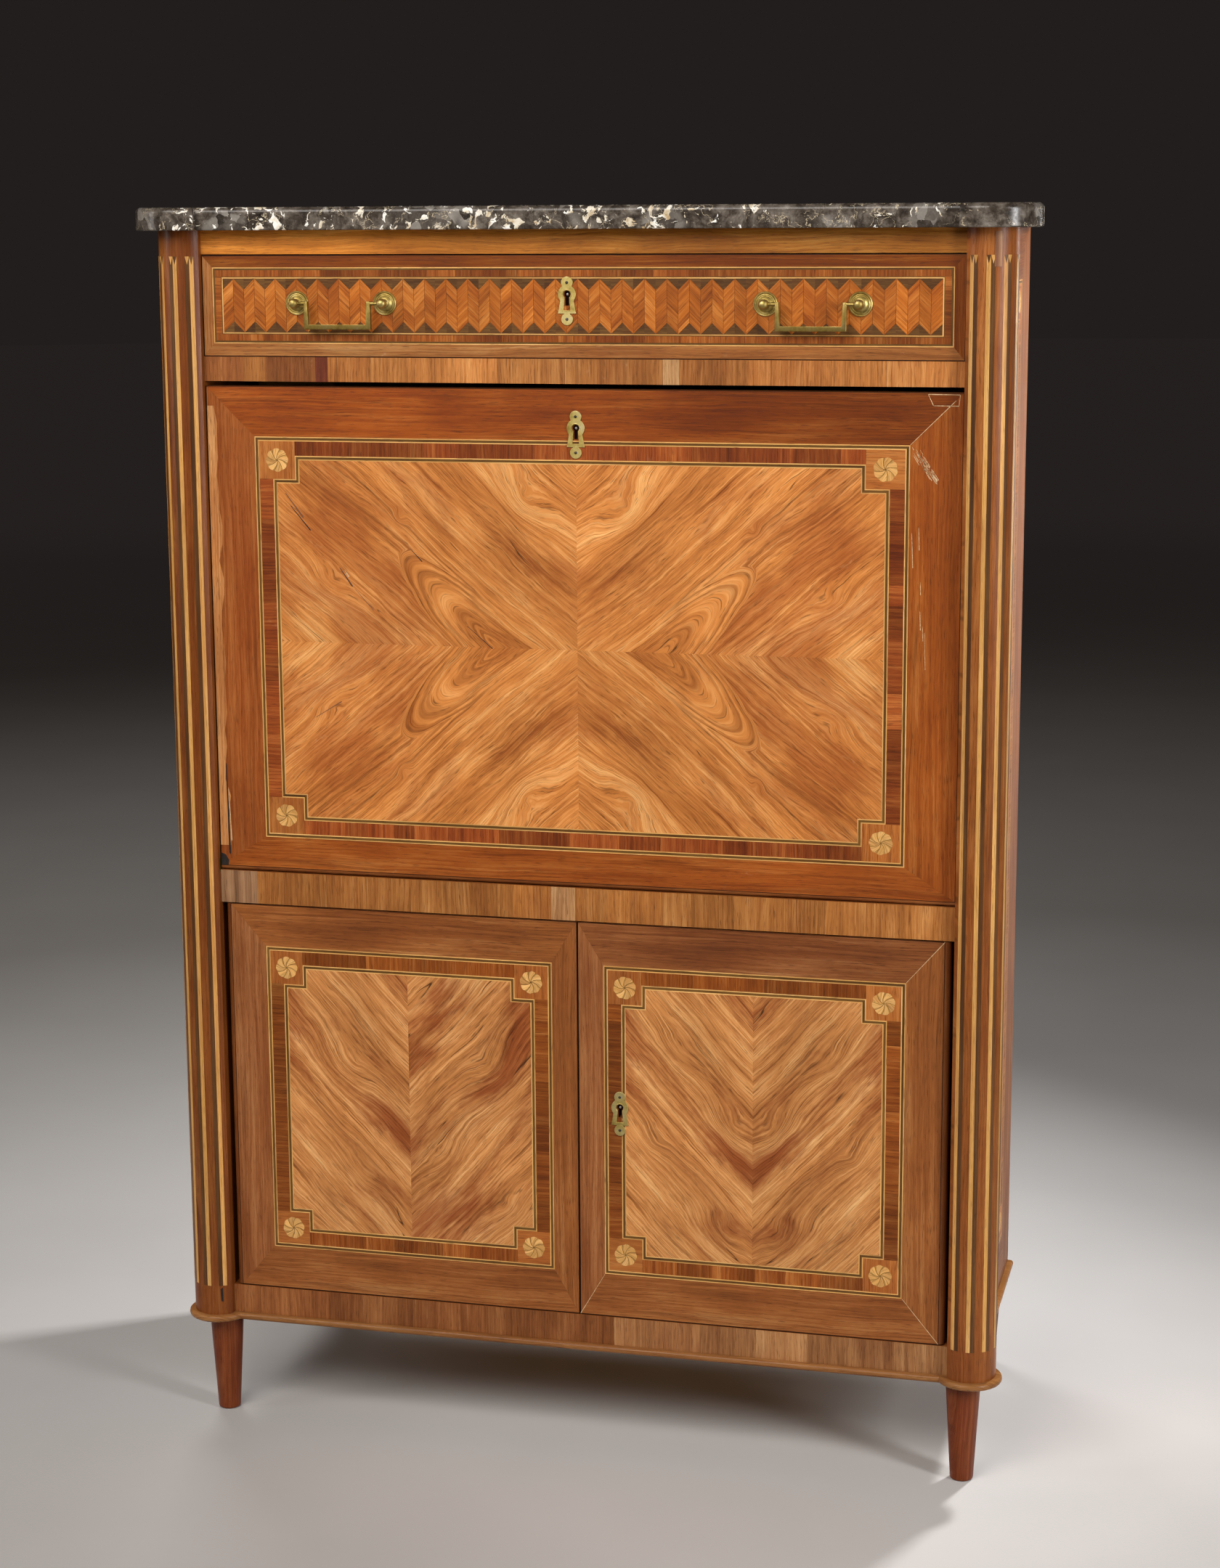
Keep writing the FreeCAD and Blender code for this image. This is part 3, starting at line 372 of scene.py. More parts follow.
def metal(name, tones, rough, patches=60.0, places=metal_places):
    """Worn metal: tarnish in patches, fine rubbing marks and small dents."""
    s = Surface(name)
    place = s.place()
    tarnish = s.noise(place, patches, 5.0, 0.6)
    rubbed = s.noise(place, 900.0, 3.0)
    s.colour = s.ramp(tarnish, stops(tones, places))
    s.relief(tarnish + rubbed * 0.3, 0.12, 0.0004)
    return s.finish(s.between(tarnish, 0.3, 0.7, rough + 0.14, rough - 0.06) + rubbed * 0.1, metallic=1.0)


def leather(name):
    """Old writing leather: pebbled, darkened at random and rubbed pale on its high places."""
    s = Surface(name)
    place = s.place()
    pebble = s.cells(place, 900.0)
    wear = s.noise(place, 9.0, 5.0, 0.6)
    greens = stops("1d2a1c 2f4029 4a5735 6b6a44", (0.3, 0.5, 0.68, 0.85))
    s.colour = s.ramp(wear * 0.85 + pebble * 0.2, greens)
    s.relief(pebble + s.noise(place, 260.0, 3.0) * 0.6, 0.35, 0.0003)
    return s.finish(s.between(wear, 0.3, 0.7, 0.58, 0.42))


def rough_wood(name, tones, axis="grain", heart=None, varied=0.0, dust=0.0):
    """Unpolished carcase wood: coarse bands, dark pores, and for old planks their arches and dust."""
    s = Surface(name)
    u, v, w = s.along(axis)
    g = v + s.noise((u * 3.0, v * 9.0, w), detail=3.0) * 0.03
    if heart:
        g = hairpin(s, u, g, heart)
    bands = s.noise((u * 2.0, g * 110.0, w * 4.0), detail=6.0, rough=0.66)
    stain = s.noise((u, v, w), 6.0, 4.0, 0.6)
    s.colour = s.ramp(bands * 0.65 + stain * 0.35, stops(tones, oak_places))
    pores = s.between(s.noise((u * 45.0, g * 1200.0, w)), 0.58, 0.72)
    s.mark(pores * 0.5, oak_pore_tone)
    if varied:
        s.shade(s.own_light(w, varied))
    if dust:
        settled = s.noise((u * 2.0, v * 5.0, w), detail=6.0, rough=0.7)
        s.mark(s.between(settled, 0.48, 0.70) * dust, dust_tone)
    s.relief(bands - pores, 0.4, 0.0005)
    return s.finish(s.between(bands, 0.3, 0.7, 0.74, 0.54))


def plain_dust(name, tones):
    """A broken dull surface, such as filler, glue, the dark inside of a lost piece, and painted shade in the
    gaps between the back planks.
    """
    s = Surface(name)
    grains = s.noise(s.place(), 300.0, 5.0, 0.7)
    s.colour = s.ramp(grains, stops(tones, dust_places))
    s.relief(grains, 0.5, 0.0004)
    return s.finish(0.8)


def turned(angle, place):
    """Turns a place into one along and across the grain; what follows its two lengths stays."""
    c = math.cos(math.radians(angle))
    n = math.sin(math.radians(angle))
    s, t, *rest = place
    return (s * c + t * n, t * c - s * n, *rest)


def knots_at(angle, *places):
    return [turned(angle, place) for place in places]


# The grain of the matched panels, in degrees from level. Hearts and knots are placed by their distances
# across and up from where the seams cross, but along and across the grain for the sides and planks. A heart
# adds its tilt and reach, a knot its reach, stretch and rise. A rim is a radius in the heart, with its width
# and depth.
flap_grain = 41.0
door_grain = 48.0
side_grain = 52.0
small_grain = 35.0
flap_heart = turned(flap_grain, (95, 0, 0.215, 29.0))
flap_knots = knots_at(flap_grain, (58, 160, 22, 1.6, 24), (203, 134, 6, 1.2, 8), (285, 60, 16, 2.2, 14))
flap_rims = [(29.5, 2.2, 0.6), (24.0, 2.0, 0.35), (10.0, 3.0, 0.5)]
left_leaf_knots = knots_at(door_grain, (78, 40, 24, 1.8, 17), (150, -120, 16, 2.2, 9), (60, -90, 12, 2.5, 8))
right_leaf_knots = knots_at(door_grain, (100, 52, 26, 1.6, 20), (40, -60, 15, 2.2, 9),
                            (120, -120, 16, 2.0, 10))
right_door_knots = knots_at(door_grain, (26, 2, 22, 1.7, 18), (40, -124, 22, 1.6, 17), (112, -15, 12, 1.6, 9),
                            (90, 95, 15, 2.2, 9))
side_heart = (30.0, -40.0, 0.2, 34.0)
plank_heart = (150.0, 15.0, 0.09, 62.0)

# Matched panels
door_looks = {"lines": 170.0, "wander": 0.03, "contrast": 3.0, "streaks": 0.35, "cracks": 0.9, "varied": 0.05,
              "dashes": 0.6, "patches": 0.75}
tulip_looks = {"lines": 150.0, "contrast": 2.6, "streaks": 0.35, "varied": 0.05}
flap_tulip = wood("flap_tulipwood", "7d3d10 c98040 f1bd7b", heart=flap_heart, knots=flap_knots,
                  rims=flap_rims, lines=190.0, wander=0.034, contrast=2.8, streaks=0.3, cracks=0.8,
                  varied=0.05, scuffs=0.3, patches=0.5)
left_leaf = wood("left_leaf_tulipwood", "6a3711 c28148 f0c082", knots=left_leaf_knots, **door_looks)
right_leaf = wood("right_leaf_tulipwood", "6a3711 c38249 f0c082", knots=right_leaf_knots, **door_looks)
right_tulip = wood("right_door_tulipwood", "6c3811 c48349 f0c082", knots=right_door_knots, **door_looks)
side_tulip = wood("side_tulipwood", "65340f ae6d38 dda96b", heart=side_heart, cracks=0.8, **tulip_looks)
fitting_tulip = wood("fitting_tulipwood", "65340f ae6d38 dda96b", wander=0.03, **tulip_looks)

# Frames round the panels
door_frame_looks = {"lines": 130.0, "varied": 0.08, "gloss": 0.44, "scuffs": 0.35}
flap_frame_wood = wood("flap_frame_wood", "561f06 984e1a c58147", lines=110.0, varied=0.06, scuffs=0.4)
flap_left_wood = wood("flap_left_wood", "4e1c06 8d491d b67744", lines=110.0, varied=0.03, scuffs=0.4)
# The fall front's top rail grows darker to the right: painted shade.
flap_top_wood = wood("flap_top_wood", "531e06 964a17 c07a40", lines=110.0, varied=0.03, scuffs=0.3,
                     fade=(-0.62, -0.12, 1.0, 0.66))
flap_edge_wood = wood("flap_edge_wood", "7c4216 c07f48 e8b980", lines=140.0, varied=0.03, scuffs=0.6)
door_frame_wood = wood("door_frame_wood", "552a0e 965829 c38c58", **door_frame_looks)
dark_door_wood = wood("dark_door_wood", "4b240d 895029 b58255", **door_frame_looks)
side_frame_wood = wood("side_frame_wood", "4c280f 7e4924 a87446", lines=100.0, varied=0.07, gloss=0.44)
drawer_border_wood = wood("drawer_border_wood", "481a02 7d3e0c b57a37", lines=160.0, varied=0.08)
drawer_worn_wood = wood("drawer_worn_wood", "5e2c0d 9c6231 d0a069", lines=160.0, varied=0.08, scuffs=0.8)

# Bands
rail_looks = {"lines": 48.0, "contrast": 2.5, "streaks": 0.3, "scuffs": 0.3}
plinth_looks = {"lines": 52.0, "contrast": 2.4, "streaks": 0.3}
dark_band_wood = wood("dark_band_wood", "461505 8a431b b8733c", lines=240.0, varied=0.26, contrast=2.6,
                      scuffs=0.4)
mid_band_wood = wood("mid_band_wood", "4e2005 864617 b87a40", lines=240.0, varied=0.22, contrast=2.6)
rail_band_wood = wood("rail_band_wood", "5a3110 b07039 dba86c", varied=0.15, **rail_looks)
middle_band_wood = wood("middle_band_wood", "542c0e a26631 cf985d", varied=0.13, **rail_looks)
plinth_band_wood = wood("plinth_band_wood", "45230d 875029 b57d4c", varied=0.12, scuffs=0.3, **plinth_looks)
# A paler copy of the plinth band for the right part of the bottom rail: painted light from the right, with
# pale scuffs.
lit_scuffed_plinth_wood = wood("lit_scuffed_plinth_wood", "4d2e17 98663d c59868", varied=0.1, scuffs=0.5, **plinth_looks)
patch_wood = wood("patch_wood", "7a4c28 b98b5c dcbb8e", lines=200.0, varied=0.1, scuffs=0.6)
ripple_wood = wood("ripple_wood", "2f1209 6a3422 94583c", lines=260.0, contrast=3.0, varied=0.05)

# Inlay
block_wood = wood("block_wood", "7a3c12 ac662e d19458", lines=260.0, varied=0.12)
chevron_wood = wood("chevron_wood", "6f3006 ad5f1e dc9550", lines=300.0, contrast=2.8, varied=0.09)
boxwood = wood("boxwood", "a06a2d d6a25e eec486", lines=420.0, varied=0.08, streaks=0.2, gloss=0.42,
               dashes=0.2)
flute_boxwood = wood("flute_boxwood", "a06a2b d09a55 eabf80", lines=420.0, varied=0.1, streaks=0.3, worm=0.12)
green_wood = wood("green_stained_wood", "38220b 694920 8f6e3c", lines=420.0, varied=0.14)
dusk_wood = wood("smoked_wood", "2f1c0c 5c3d1e 866236", lines=420.0, varied=0.12)
flute_dark_wood = wood("flute_dark_wood", "33200f 5d3c20 83603a", lines=300.0, varied=0.16)
# A near-black strip round the edge of a face: painted shade for the gap round it.
gap_shade_wood = wood("gap_shade_wood", "1a0d06 301809 4a2914", lines=200.0, varied=0.1)
scorched_wood = wood("scorched_wood", "4f3314 7d5a29 a98447", lines=300.0, varied=0.1)
toasted_wood = wood("toasted_wood", "8a6128 b98a4a d9b06e", lines=300.0, varied=0.1)

# Solid woods
# The two corner posts are one wood in a darker and a lighter copy: painted shade on the left post, painted
# light on the right one.
shaded_left_post_wood = wood("shaded_left_post_wood", "451d06 783f17 a56c3a", axis="z", lines=120.0, gloss=0.34)
lit_right_post_wood = wood("lit_right_post_wood", "50250b 8c4f22 bf814b", axis="z", lines=120.0, gloss=0.34)
# The frieze rail is lighter at its left end and darker at its right: painted light and painted shade.
frieze_wood = wood("frieze_wood", "643409 a36422 d29a52", axis="x", lines=110.0, wander=0.02,
                   fade=(-0.42, 0.12, 1.9, 0.88))
board_wood = wood("board_edge_wood", "4e230c 83491f b07846", axis="x", lines=110.0)
door_board_wood = wood("door_edge_wood", "47220a 7a4520 a67042", axis="z", lines=110.0)
moulding_wood = wood("moulding_wood", "5a3215 8f5f34 bd8f5a", axis="x", lines=200.0, gloss=0.34)
foot_wood = wood("foot_mahogany", "3e1404 6f3214 9e5d34", axis="z", lines=150.0, scuffs=0.4)
satin_level = wood("satinwood_level", "986a30 c79955 e6c184", axis="x", lines=120.0)
satin_deep = wood("satinwood_upright", "92642b c2944f e0ba7c", axis="y", lines=120.0)
oak_tones = "6b4a2a 8f6a40 a37d50 bf9b6c"
old_oak_tones = "3f2c1b 5f4630 725740 91765a"
oak_level = rough_wood("oak_level", oak_tones, "x")
oak_deep = rough_wood("oak_deep", oak_tones, "y")
old_oak = rough_wood("old_oak_upright", old_oak_tones, "z")
plank_oak = rough_wood("plank_oak", old_oak_tones, heart=plank_heart, varied=0.14, dust=0.4)
bare_oak = rough_wood("bare_oak", "3c2212 77502f 946a46 bd9772")
rough_brown = rough_wood("rough_brown", "42200f 754525 8f5f3a c29467")

# Metals, stone, leather and filler
brass = metal("aged_brass", "78632e a8914f c4b071 dfd09c", 0.42, places=brass_places)
bail_brass = metal("bail_brass", "5f4d22 8a743a a89153 c9b47c", 0.38, places=brass_places)
plate_brass = metal("plate_brass", "937e3e bfaa64 d6c486 ebdfb2", 0.46, places=brass_places)
dull_brass = metal("dull_brass", "5a4a22 8d7437 b79a55", 0.42)
iron = metal("old_iron", "2a2522 4a443f 6b625a 7c5a3e", 0.5, places=iron_places)
steel = metal("bright_steel", "a8a5a2 cbc8c5 e6e4e1", 0.5, 300.0)
gold = metal("gold_tooling", "8f6a24 c79b43 e6c777", 0.35, 200.0)
shell_marble = marble("shell_marble")
green_leather = leather("green_leather")
filler = plain_dust("pale_filler", "a97f52 d9bd94")
loss_and_gap_shade = plain_dust("dark_loss_and_gap_shade", "0b0705 24160d")


# Outlines on a face, turning left

def points(*places):
    return [Vector(place) for place in places]


def beside(corner, places):
    """Places measured from a corner."""
    return [corner + Vector(place) for place in places]


def rectangle(x0, z0, x1, z1):
    return points((x0, z0), (x1, z0), (x1, z1), (x0, z1))


def within(face, margins):
    """The rectangle inside a face's margins at left, bottom, right and top."""
    x0, z0, x1, z1 = face
    left, bottom, right, top = margins
    return rectangle(x0 + left, z0 + bottom, x1 - right, z1 - top)


def notched(x0, z0, x1, z1, n):
    """A rectangle with a square bite out of each corner."""
    return points((x0 + n, z0), (x1 - n, z0), (x1 - n, z0 + n), (x1, z0 + n), (x1, z1 - n), (x1 - n, z1 - n),
                  (x1 - n, z1), (x0 + n, z1), (x0 + n, z1 - n), (x0, z1 - n), (x0, z0 + n), (x0 + n, z0 + n))


def spoke(centre, degrees, radius):
    turn = math.radians(degrees)
    return centre + Vector((math.cos(turn), math.sin(turn))) * radius


def arc_points(centre, radius, start, end, count):
    return [spoke(centre, start + (end - start) * i / count, radius) for i in range(count + 1)]


def inset(outline, by):
    """A closed outline moved inwards, with mitred corners."""
    moved = []
    for i in range(len(outline)):
        into = (outline[i] - outline[i - 1]).normalized()
        out = (outline[(i + 1) % len(outline)] - outline[i]).normalized()
        a = Vector((-into.y, into.x))
        b = Vector((-out.y, out.x))
        moved.append(outline[i] + (a + b) * (by / (1 + a.dot(b))))
    return moved


def around(outline):
    """Each point of a closed outline with the one that follows it."""
    return zip(outline, outline[1:] + outline[:1])


def rails_between(outer, inner):
    """The four-cornered rails between two closed outlines with as many points."""
    return [[a, b, d, c] for (a, b), (c, d) in zip(around(outer), around(inner))]


def heading(run):
    return math.degrees(math.atan2(run.y, run.x))


def clip(outline, axis, limit, keep):
    """The part of an outline past a limit on one axis; keep is 1 for above it and -1 for below."""
    kept = []
    for a, b in zip(outline[-1:] + outline, outline):
        from_a = keep * (a[axis] - limit)
        from_b = keep * (b[axis] - limit)
        if (from_a > 0) != (from_b > 0):
            kept.append(a + (b - a) * (from_a / (from_a - from_b)))
        if from_b > 0:
            kept.append(b)
    return kept


def slice_of(outline, low, high):
    """The part of an outline between two limits on its first axis."""
    return clip(clip(outline, 0, low, 1), 0, high, -1)


# Faces: each gives a function from two lengths on the face, and a height over it, to a point

def on_plane(y, facing):
    """An upright face at y that looks to the front for -1 and to the rear for 1."""
    def place(x, z, height):
        return Vector((x, y + facing * height, z)) * MM
    return place


def on_side(side):
    def place(d, z, height):
        return Vector((side * (side_x + height), front_y + d, z)) * MM
    return place


def on_column(side):
    """Degrees round a front column, 0 facing the front and positive to the outer side."""
    def place(degrees, z, height):
        turn = math.radians(degrees)
        x = column_x + (column_radius + height) * math.sin(turn)
        d = column_d - (column_radius + height) * math.cos(turn)
        return Vector((side * x, front_y + d, z)) * MM
    return place


on_front = on_plane(front_y, -1)


def panel_face(node):
    x0, x1, y0, y1, z0, z1 = edges(node)
    return x0, z0, x1, z1


# Veneer sheets

# How far apart in the figure two pieces are cut
piece_step = 0.37


def add_piece(name, mesh, body, slot, *replaced):
    """Puts a mesh in the scene as a piece that rides on a body and stands for the nodes named."""
    mesh.update()
    piece = bpy.data.objects.new(name, mesh)
    scene.collection.objects.link(piece)
    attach(piece, body)
    if replaced:
        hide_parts(*replaced)
    return piece


class Sheet:
    """Pieces of veneer laid on one face of a body and made into one mesh.

    place is the face's function; reverse is for faces where that turns the outline over; window is a
    rectangle left open; facet is the width of the slices on a round face.
    """

    def __init__(self, name, body, place, slot="veneer", reverse=False, window=None, facet=None):
        self.name = name
        self.body = body
        self.place = place
        self.slot = slot
        self.reverse = reverse
        self.window = window
        self.facet = facet
        self.points = []
        self.grain = []
        self.faces = []
        self.face_wood = []
        self.woods = []
        self.laid = 0

    def split(self, outline):
        """The outline without the sheet's window, and in slices on a round face."""
        parts = [outline]
        if self.window:
            x0, z0, x1, z1 = self.window
            middle = slice_of(outline, x0, x1)
            parts = [clip(outline, 0, x0, -1), clip(outline, 0, x1, 1),
                     clip(middle, 1, z0, -1), clip(middle, 1, z1, 1)]
        if self.facet:
            low = min(p.x for p in outline)
            high = max(p.x for p in outline)
            count = max(1, round((high - low) / self.facet))
            steps = [low + (high - low) * i / count for i in range(count + 1)]
            parts = [slice_of(outline, a, b) for a, b in zip(steps, steps[1:])]
        return [part for part in parts if len(part) > 2]

    def lay(self, outline, material, grain=0.0, origin=(0, 0), flip=(1, 1), seed=None, base=0.0,
            rise=veneer_rise, joint=0.0):
        """One piece: its outline, its wood, and the angle of its grain from the outline's first axis."""
        if joint:
            outline = inset(outline, joint)
        if seed is None:
            self.laid += 1
            seed = self.laid
        if material not in self.woods:
            self.woods.append(material)
        for part in self.split(outline):
            start = len(self.points)
            count = len(part)
            for height in (rise, rise, base):
                for p in part:
                    u, v = turned(grain, ((p.x - origin[0]) * flip[0], (p.y - origin[1]) * flip[1]))
                    self.points.append(self.place(p.x, p.y, height))
                    self.grain.append((u * MM, v * MM, seed * piece_step))
            top, rim, foot = [[start + row * count + i for i in range(count)] for row in range(3)]
            faces = [top, foot[::-1]] + rails_between(foot, rim)
            if self.reverse:
                faces = [face[::-1] for face in faces]
            self.faces += faces
            self.face_wood += [self.woods.index(material)] * len(faces)

    def rings(self, outline, *strips, rise=veneer_rise):
        """Mitred strips, each a width and a wood, one inside the other; returns the outline they leave."""
        for width, material in strips:
            inner = inset(outline, width)
            for rail in rails_between(outline, inner):
                self.lay(rail, material, heading(rail[1] - rail[0]), rise=rise)
            outline = inner
        return outline

    def strings(self, outline):
        """The light, dark, light lines of one run of stringing."""
        light = (string_light, boxwood)
        return self.rings(outline, light, (string_dark, green_wood), light)

    def frame(self, outer, inner, woods):
        """Four mitred rails between two rectangles: bottom, right, top and left, inside a dark edge strip of
        painted shade for the gap round the face.
        """
        outer = self.rings(outer, (gap_shade_width, gap_shade_wood))
        for i, rail in enumerate(rails_between(outer, inner)):
            self.lay(rail, woods[i], 90.0 * (i % 2), origin=rail[0], joint=fine_joint / 2)

    def crossband(self, x0, z0, x1, z1, material, rng, lengths):
        """A band cut into short lengths with the grain across it."""
        shortest, longest = lengths
        level = (x1 - x0) > (z1 - z0)
        place, end = (x0, x1) if level else (z0, z1)
        while place < end:
            stop = place + rng.uniform(shortest, longest)
            if end - stop < shortest:
                stop = end
            if level:
                self.lay(rectangle(place, z0, stop, z1), material, 90.0, joint=fine_joint)
            else:
                self.lay(rectangle(x0, place, x1, stop), material, 0.0, joint=fine_joint)
            place = stop

    def crossbands(self, outline, band, ends, material, rng, lengths):
        """Four bands inside a rectangle; ends are how far the level and the upright ones stop short."""
        x0, z0 = outline[0]
        x1, z1 = outline[2]
        level, upright = ends
        for box in ((x0 + level, z0, x1 - level, z0 + band), (x0 + level, z1 - band, x1 - level, z1),
                    (x0, z0 + upright, x0 + band, z1 - upright), (x1 - band, z0 + upright, x1, z1 - upright)):
            self.crossband(*box, material, rng, lengths)

    def finish(self):
        mesh = bpy.data.meshes.new(self.name)
        mesh.from_pydata(self.points, [], self.faces)
        for material in self.woods:
            mesh.materials.append(material)
        mesh.polygons.foreach_set("material_index", self.face_wood)
        grain = mesh.attributes.new("grain", "FLOAT_VECTOR", "POINT")
        grain.data.foreach_set("vector", [value for triple in self.grain for value in triple])
        add_piece(self.name, mesh, self.body, self.slot)


# Paterae: a disc in each corner block, and the petals on it
patera_radius = 13.2
patera_rim = 1.0
patera_petals = 8
patera_twist = 38.0
patera_steps = 40
patera_turns = (0, 45)
petal_steps = 7
petal_gap = 0.28
petal_hub = 1.0
petal_tip = 0.8
tip_shares = (0.2, 0.4, 0.6)
petal_shaded = 0.82
petal_bend = 1.5


def patera(sheet, centre, turn):
    """A whirl of curved petals, each shaded along one side, in a scorched disc."""
    disc = arc_points(centre, patera_radius - patera_rim, 0, 360, patera_steps)[:-1]
    sheet.lay(disc, scorched_wood, base=veneer_rise, rise=inlay_level)
    step = 360.0 / patera_petals
    reach = patera_radius - petal_tip
    radii = [petal_hub + (reach - petal_hub) * k / petal_steps for k in range(petal_steps + 1)]

    def edge(start, radius, share):
        """A point on a petal: share runs from 0 on its plain side to 1 on its shaded side."""
        gap = math.degrees(petal_gap / radius)
        bend = patera_twist * (1 - radius / patera_radius) ** petal_bend
        return spoke(centre, start + gap + (step - 2 * gap) * share + bend, radius)

    for i in range(patera_petals):
        start = turn + i * step
        plain, seam, far = [[edge(start, r, share) for r in radii] for share in (0.0, petal_shaded, 1.0)]
        tip = [edge(start, reach + petal_tip * math.sin(math.pi * share), share) for share in tip_shares]
        for outline, material in ((plain + tip + seam[::-1], boxwood), (seam + far[::-1], toasted_wood)):
            sheet.lay(outline, material, start, base=inlay_level, rise=inlay_level + inlay_rise)


# Leaves cut one after another from a log: how far they slip at a seam, and how much the figure changes
leaf_slip = 5.0
leaf_step = 0.05

# The shortest and longest piece of a crossband
band_lengths = (20.0, 60.0)


def banded_panel(sheet, face, margins, widths, woods, seams, grain, rng, matched=True):
    """A mitred frame, stringing, a crossband with a patera in each corner block, stringing, a matched centre.

    margins are the frame's widths at left, bottom, right and top; widths are the crossband's and the block's;
    seams are the centre's joints across and up.
    """
    rails, band_wood, leaves = woods
    band, block = widths
    run = within(face, margins)
    sheet.frame(rectangle(*face), run, rails)
    run = sheet.strings(run)
    x0, z0 = run[0]
    x1, z1 = run[2]
    for x, z in ((x0, z0), (x1 - block, z0), (x1 - block, z1 - block), (x0, z1 - block)):
        sheet.lay(rectangle(x, z, x + block, z + block), block_wood, rng.choice((0.0, 90.0)))
        patera(sheet, Vector((x + block / 2, z + block / 2)), rng.uniform(*patera_turns))
    sheet.crossbands(run, band, (block, block), band_wood, rng, band_lengths)
    centre = sheet.strings(notched(x0 + band, z0 + band, x1 - band, z1 - band, block - band))
    seam_x, seam_z = seams
    middle = (face[1] + face[3]) / 2
    leaf = 1.0
    for side, leaf_wood in zip((-1, 1), leaves):
        half = clip(centre, 0, seam_x, side)
        if seam_z is None:
            start = (seam_x, middle + rng.uniform(-leaf_slip, leaf_slip))
            sheet.lay(half, leaf_wood, grain, start, (side, 1), seed=leaf)
            leaf += leaf_step if matched else 1.0
            continue
        for rise in (-1, 1):
            start = (seam_x + rng.uniform(-leaf_slip, leaf_slip), seam_z + rng.uniform(-leaf_slip, leaf_slip))
            sheet.lay(clip(half, 1, seam_z, rise), leaf_wood, grain, start, (side, rise), seed=leaf)
            leaf += leaf_step


# Keyhole plates: a lobe over the keyhole's round, a skirt below that widens, and a lobe at the foot.
# Heights are from the middle of the round.
plate_lobe_rise = 12.5
plate_lobe_drop = 26.5
plate_lobe_radius = 6.5
plate_round = 10.0
plate_waist = 6.3
plate_skirt = 20.5
skirt_edge = 0.1
plate_steps = 90
plate_thickness = 1.4
plate_edge = 0.35
keyhole_radius = 4.2
keyhole_neck = 2.6
keyhole_foot = 3.9
keyhole_reach = 17.0
keyhole_steps = 24
window_half = 5.5
window_above = 5.5
window_below = 12.5


def keyhole_of(node):
    """The middle of a keyhole's round, from the box of its plate."""
    x0, x1, y0, y1, z0, z1 = edges(node)
    return (x0 + x1) / 2, z1 - plate_lobe_rise - plate_lobe_radius


def keyhole_window(node):
    """The opening to leave in a sheet under a keyhole plate."""
    x, z = keyhole_of(node)
    return x - window_half, z - window_below, x + window_half, z + window_above


# Wear: where scratches start along a rubbed run, their share of it and their width, and filler in a mitre
scratch_starts = (0.0, 0.75)
scratch_shares = (0.08, 0.28)
scratch_widths = (0.3, 0.9)
mitre_width = 0.8


def sliver(sheet, start, end, width, material):
    """A thin line of another material over the sheet, such as filler in a joint or a scratch."""
    run = (end - start).normalized()
    side = Vector((-run.y, run.x)) * (width / 2)
    neck = end - run * width
    outline = [start, neck - side, end, neck + side, start + run * width + side]
    sheet.lay(outline, material, heading(run), origin=start, base=veneer_rise, rise=inlay_level)


def scratches(sheet, start, end, spread, count, rng):
    """A rubbed place: short lines side by side along a run."""
    run = end - start
    for _ in range(count):
        place = start + run * rng.uniform(*scratch_starts)
        place = place + Vector((rng.uniform(-spread, spread), rng.uniform(-spread, spread)))
        sliver(sheet, place, place + run * rng.uniform(*scratch_shares), rng.uniform(*scratch_widths), filler)


# Fall front: the sheet starts over the rounded lower edge that the flap turns on
flap_seed = 11
flap_nose = 5.0
flap_margins = (56.0, 36.0, 56.0, 55.5)
flap_widths = (16.0, 42.0)
flap_seams = (3.0, case_top - 456.0)

# Its worn left edge, from the nose and from the top
worn_foot = 24.0
worn_head = 22.0
worn_width = (8, 15)
worn_steps = 26

# From its upper right corner: filler in the mitre and round a patch, and rubbed places with spread and count
flap_mitre = [(-flap_margins[2], -flap_margins[3]), (-8.0, -8.0)]
flap_patch = [(-32, -14), (-5, -14), (-4, -2), (-38, -2)]
flap_patch_line = 0.9
flap_rubs = [([(-52, -58), (-26, -98)], 4.0, 46), ([(-50, -130), (-42, -300)], 6.0, 6)]

# From its upper left corner: splits and lost slivers, with their width and what fills them, and a lost corner
flap_flaws = [((9.5, -428), (11.5, -536), 2.4, loss_and_gap_shade), ((11.7, -458), (14.0, -520), 1.2, filler),
              ((90, -118), (112, -146), 2.0, rough_brown), ((96, -132), (120, -160), 1.4, loss_and_gap_shade),
              ((152, -200), (168, -222), 2.0, rough_brown), ((158, -203), (164, -211), 1.8, filler),
              ((170, -224), (192, -248), 1.0, rough_brown), ((236, -178), (250, -192), 1.1, loss_and_gap_shade),
              ((300, -262), (330, -287), 0.9, loss_and_gap_shade), ((120, -372), (152, -352), 1.3, rough_brown)]
flap_lost_corner = [(0, -548.5), (9, -548.5), (10, -543), (6, -536), (0, -534)]


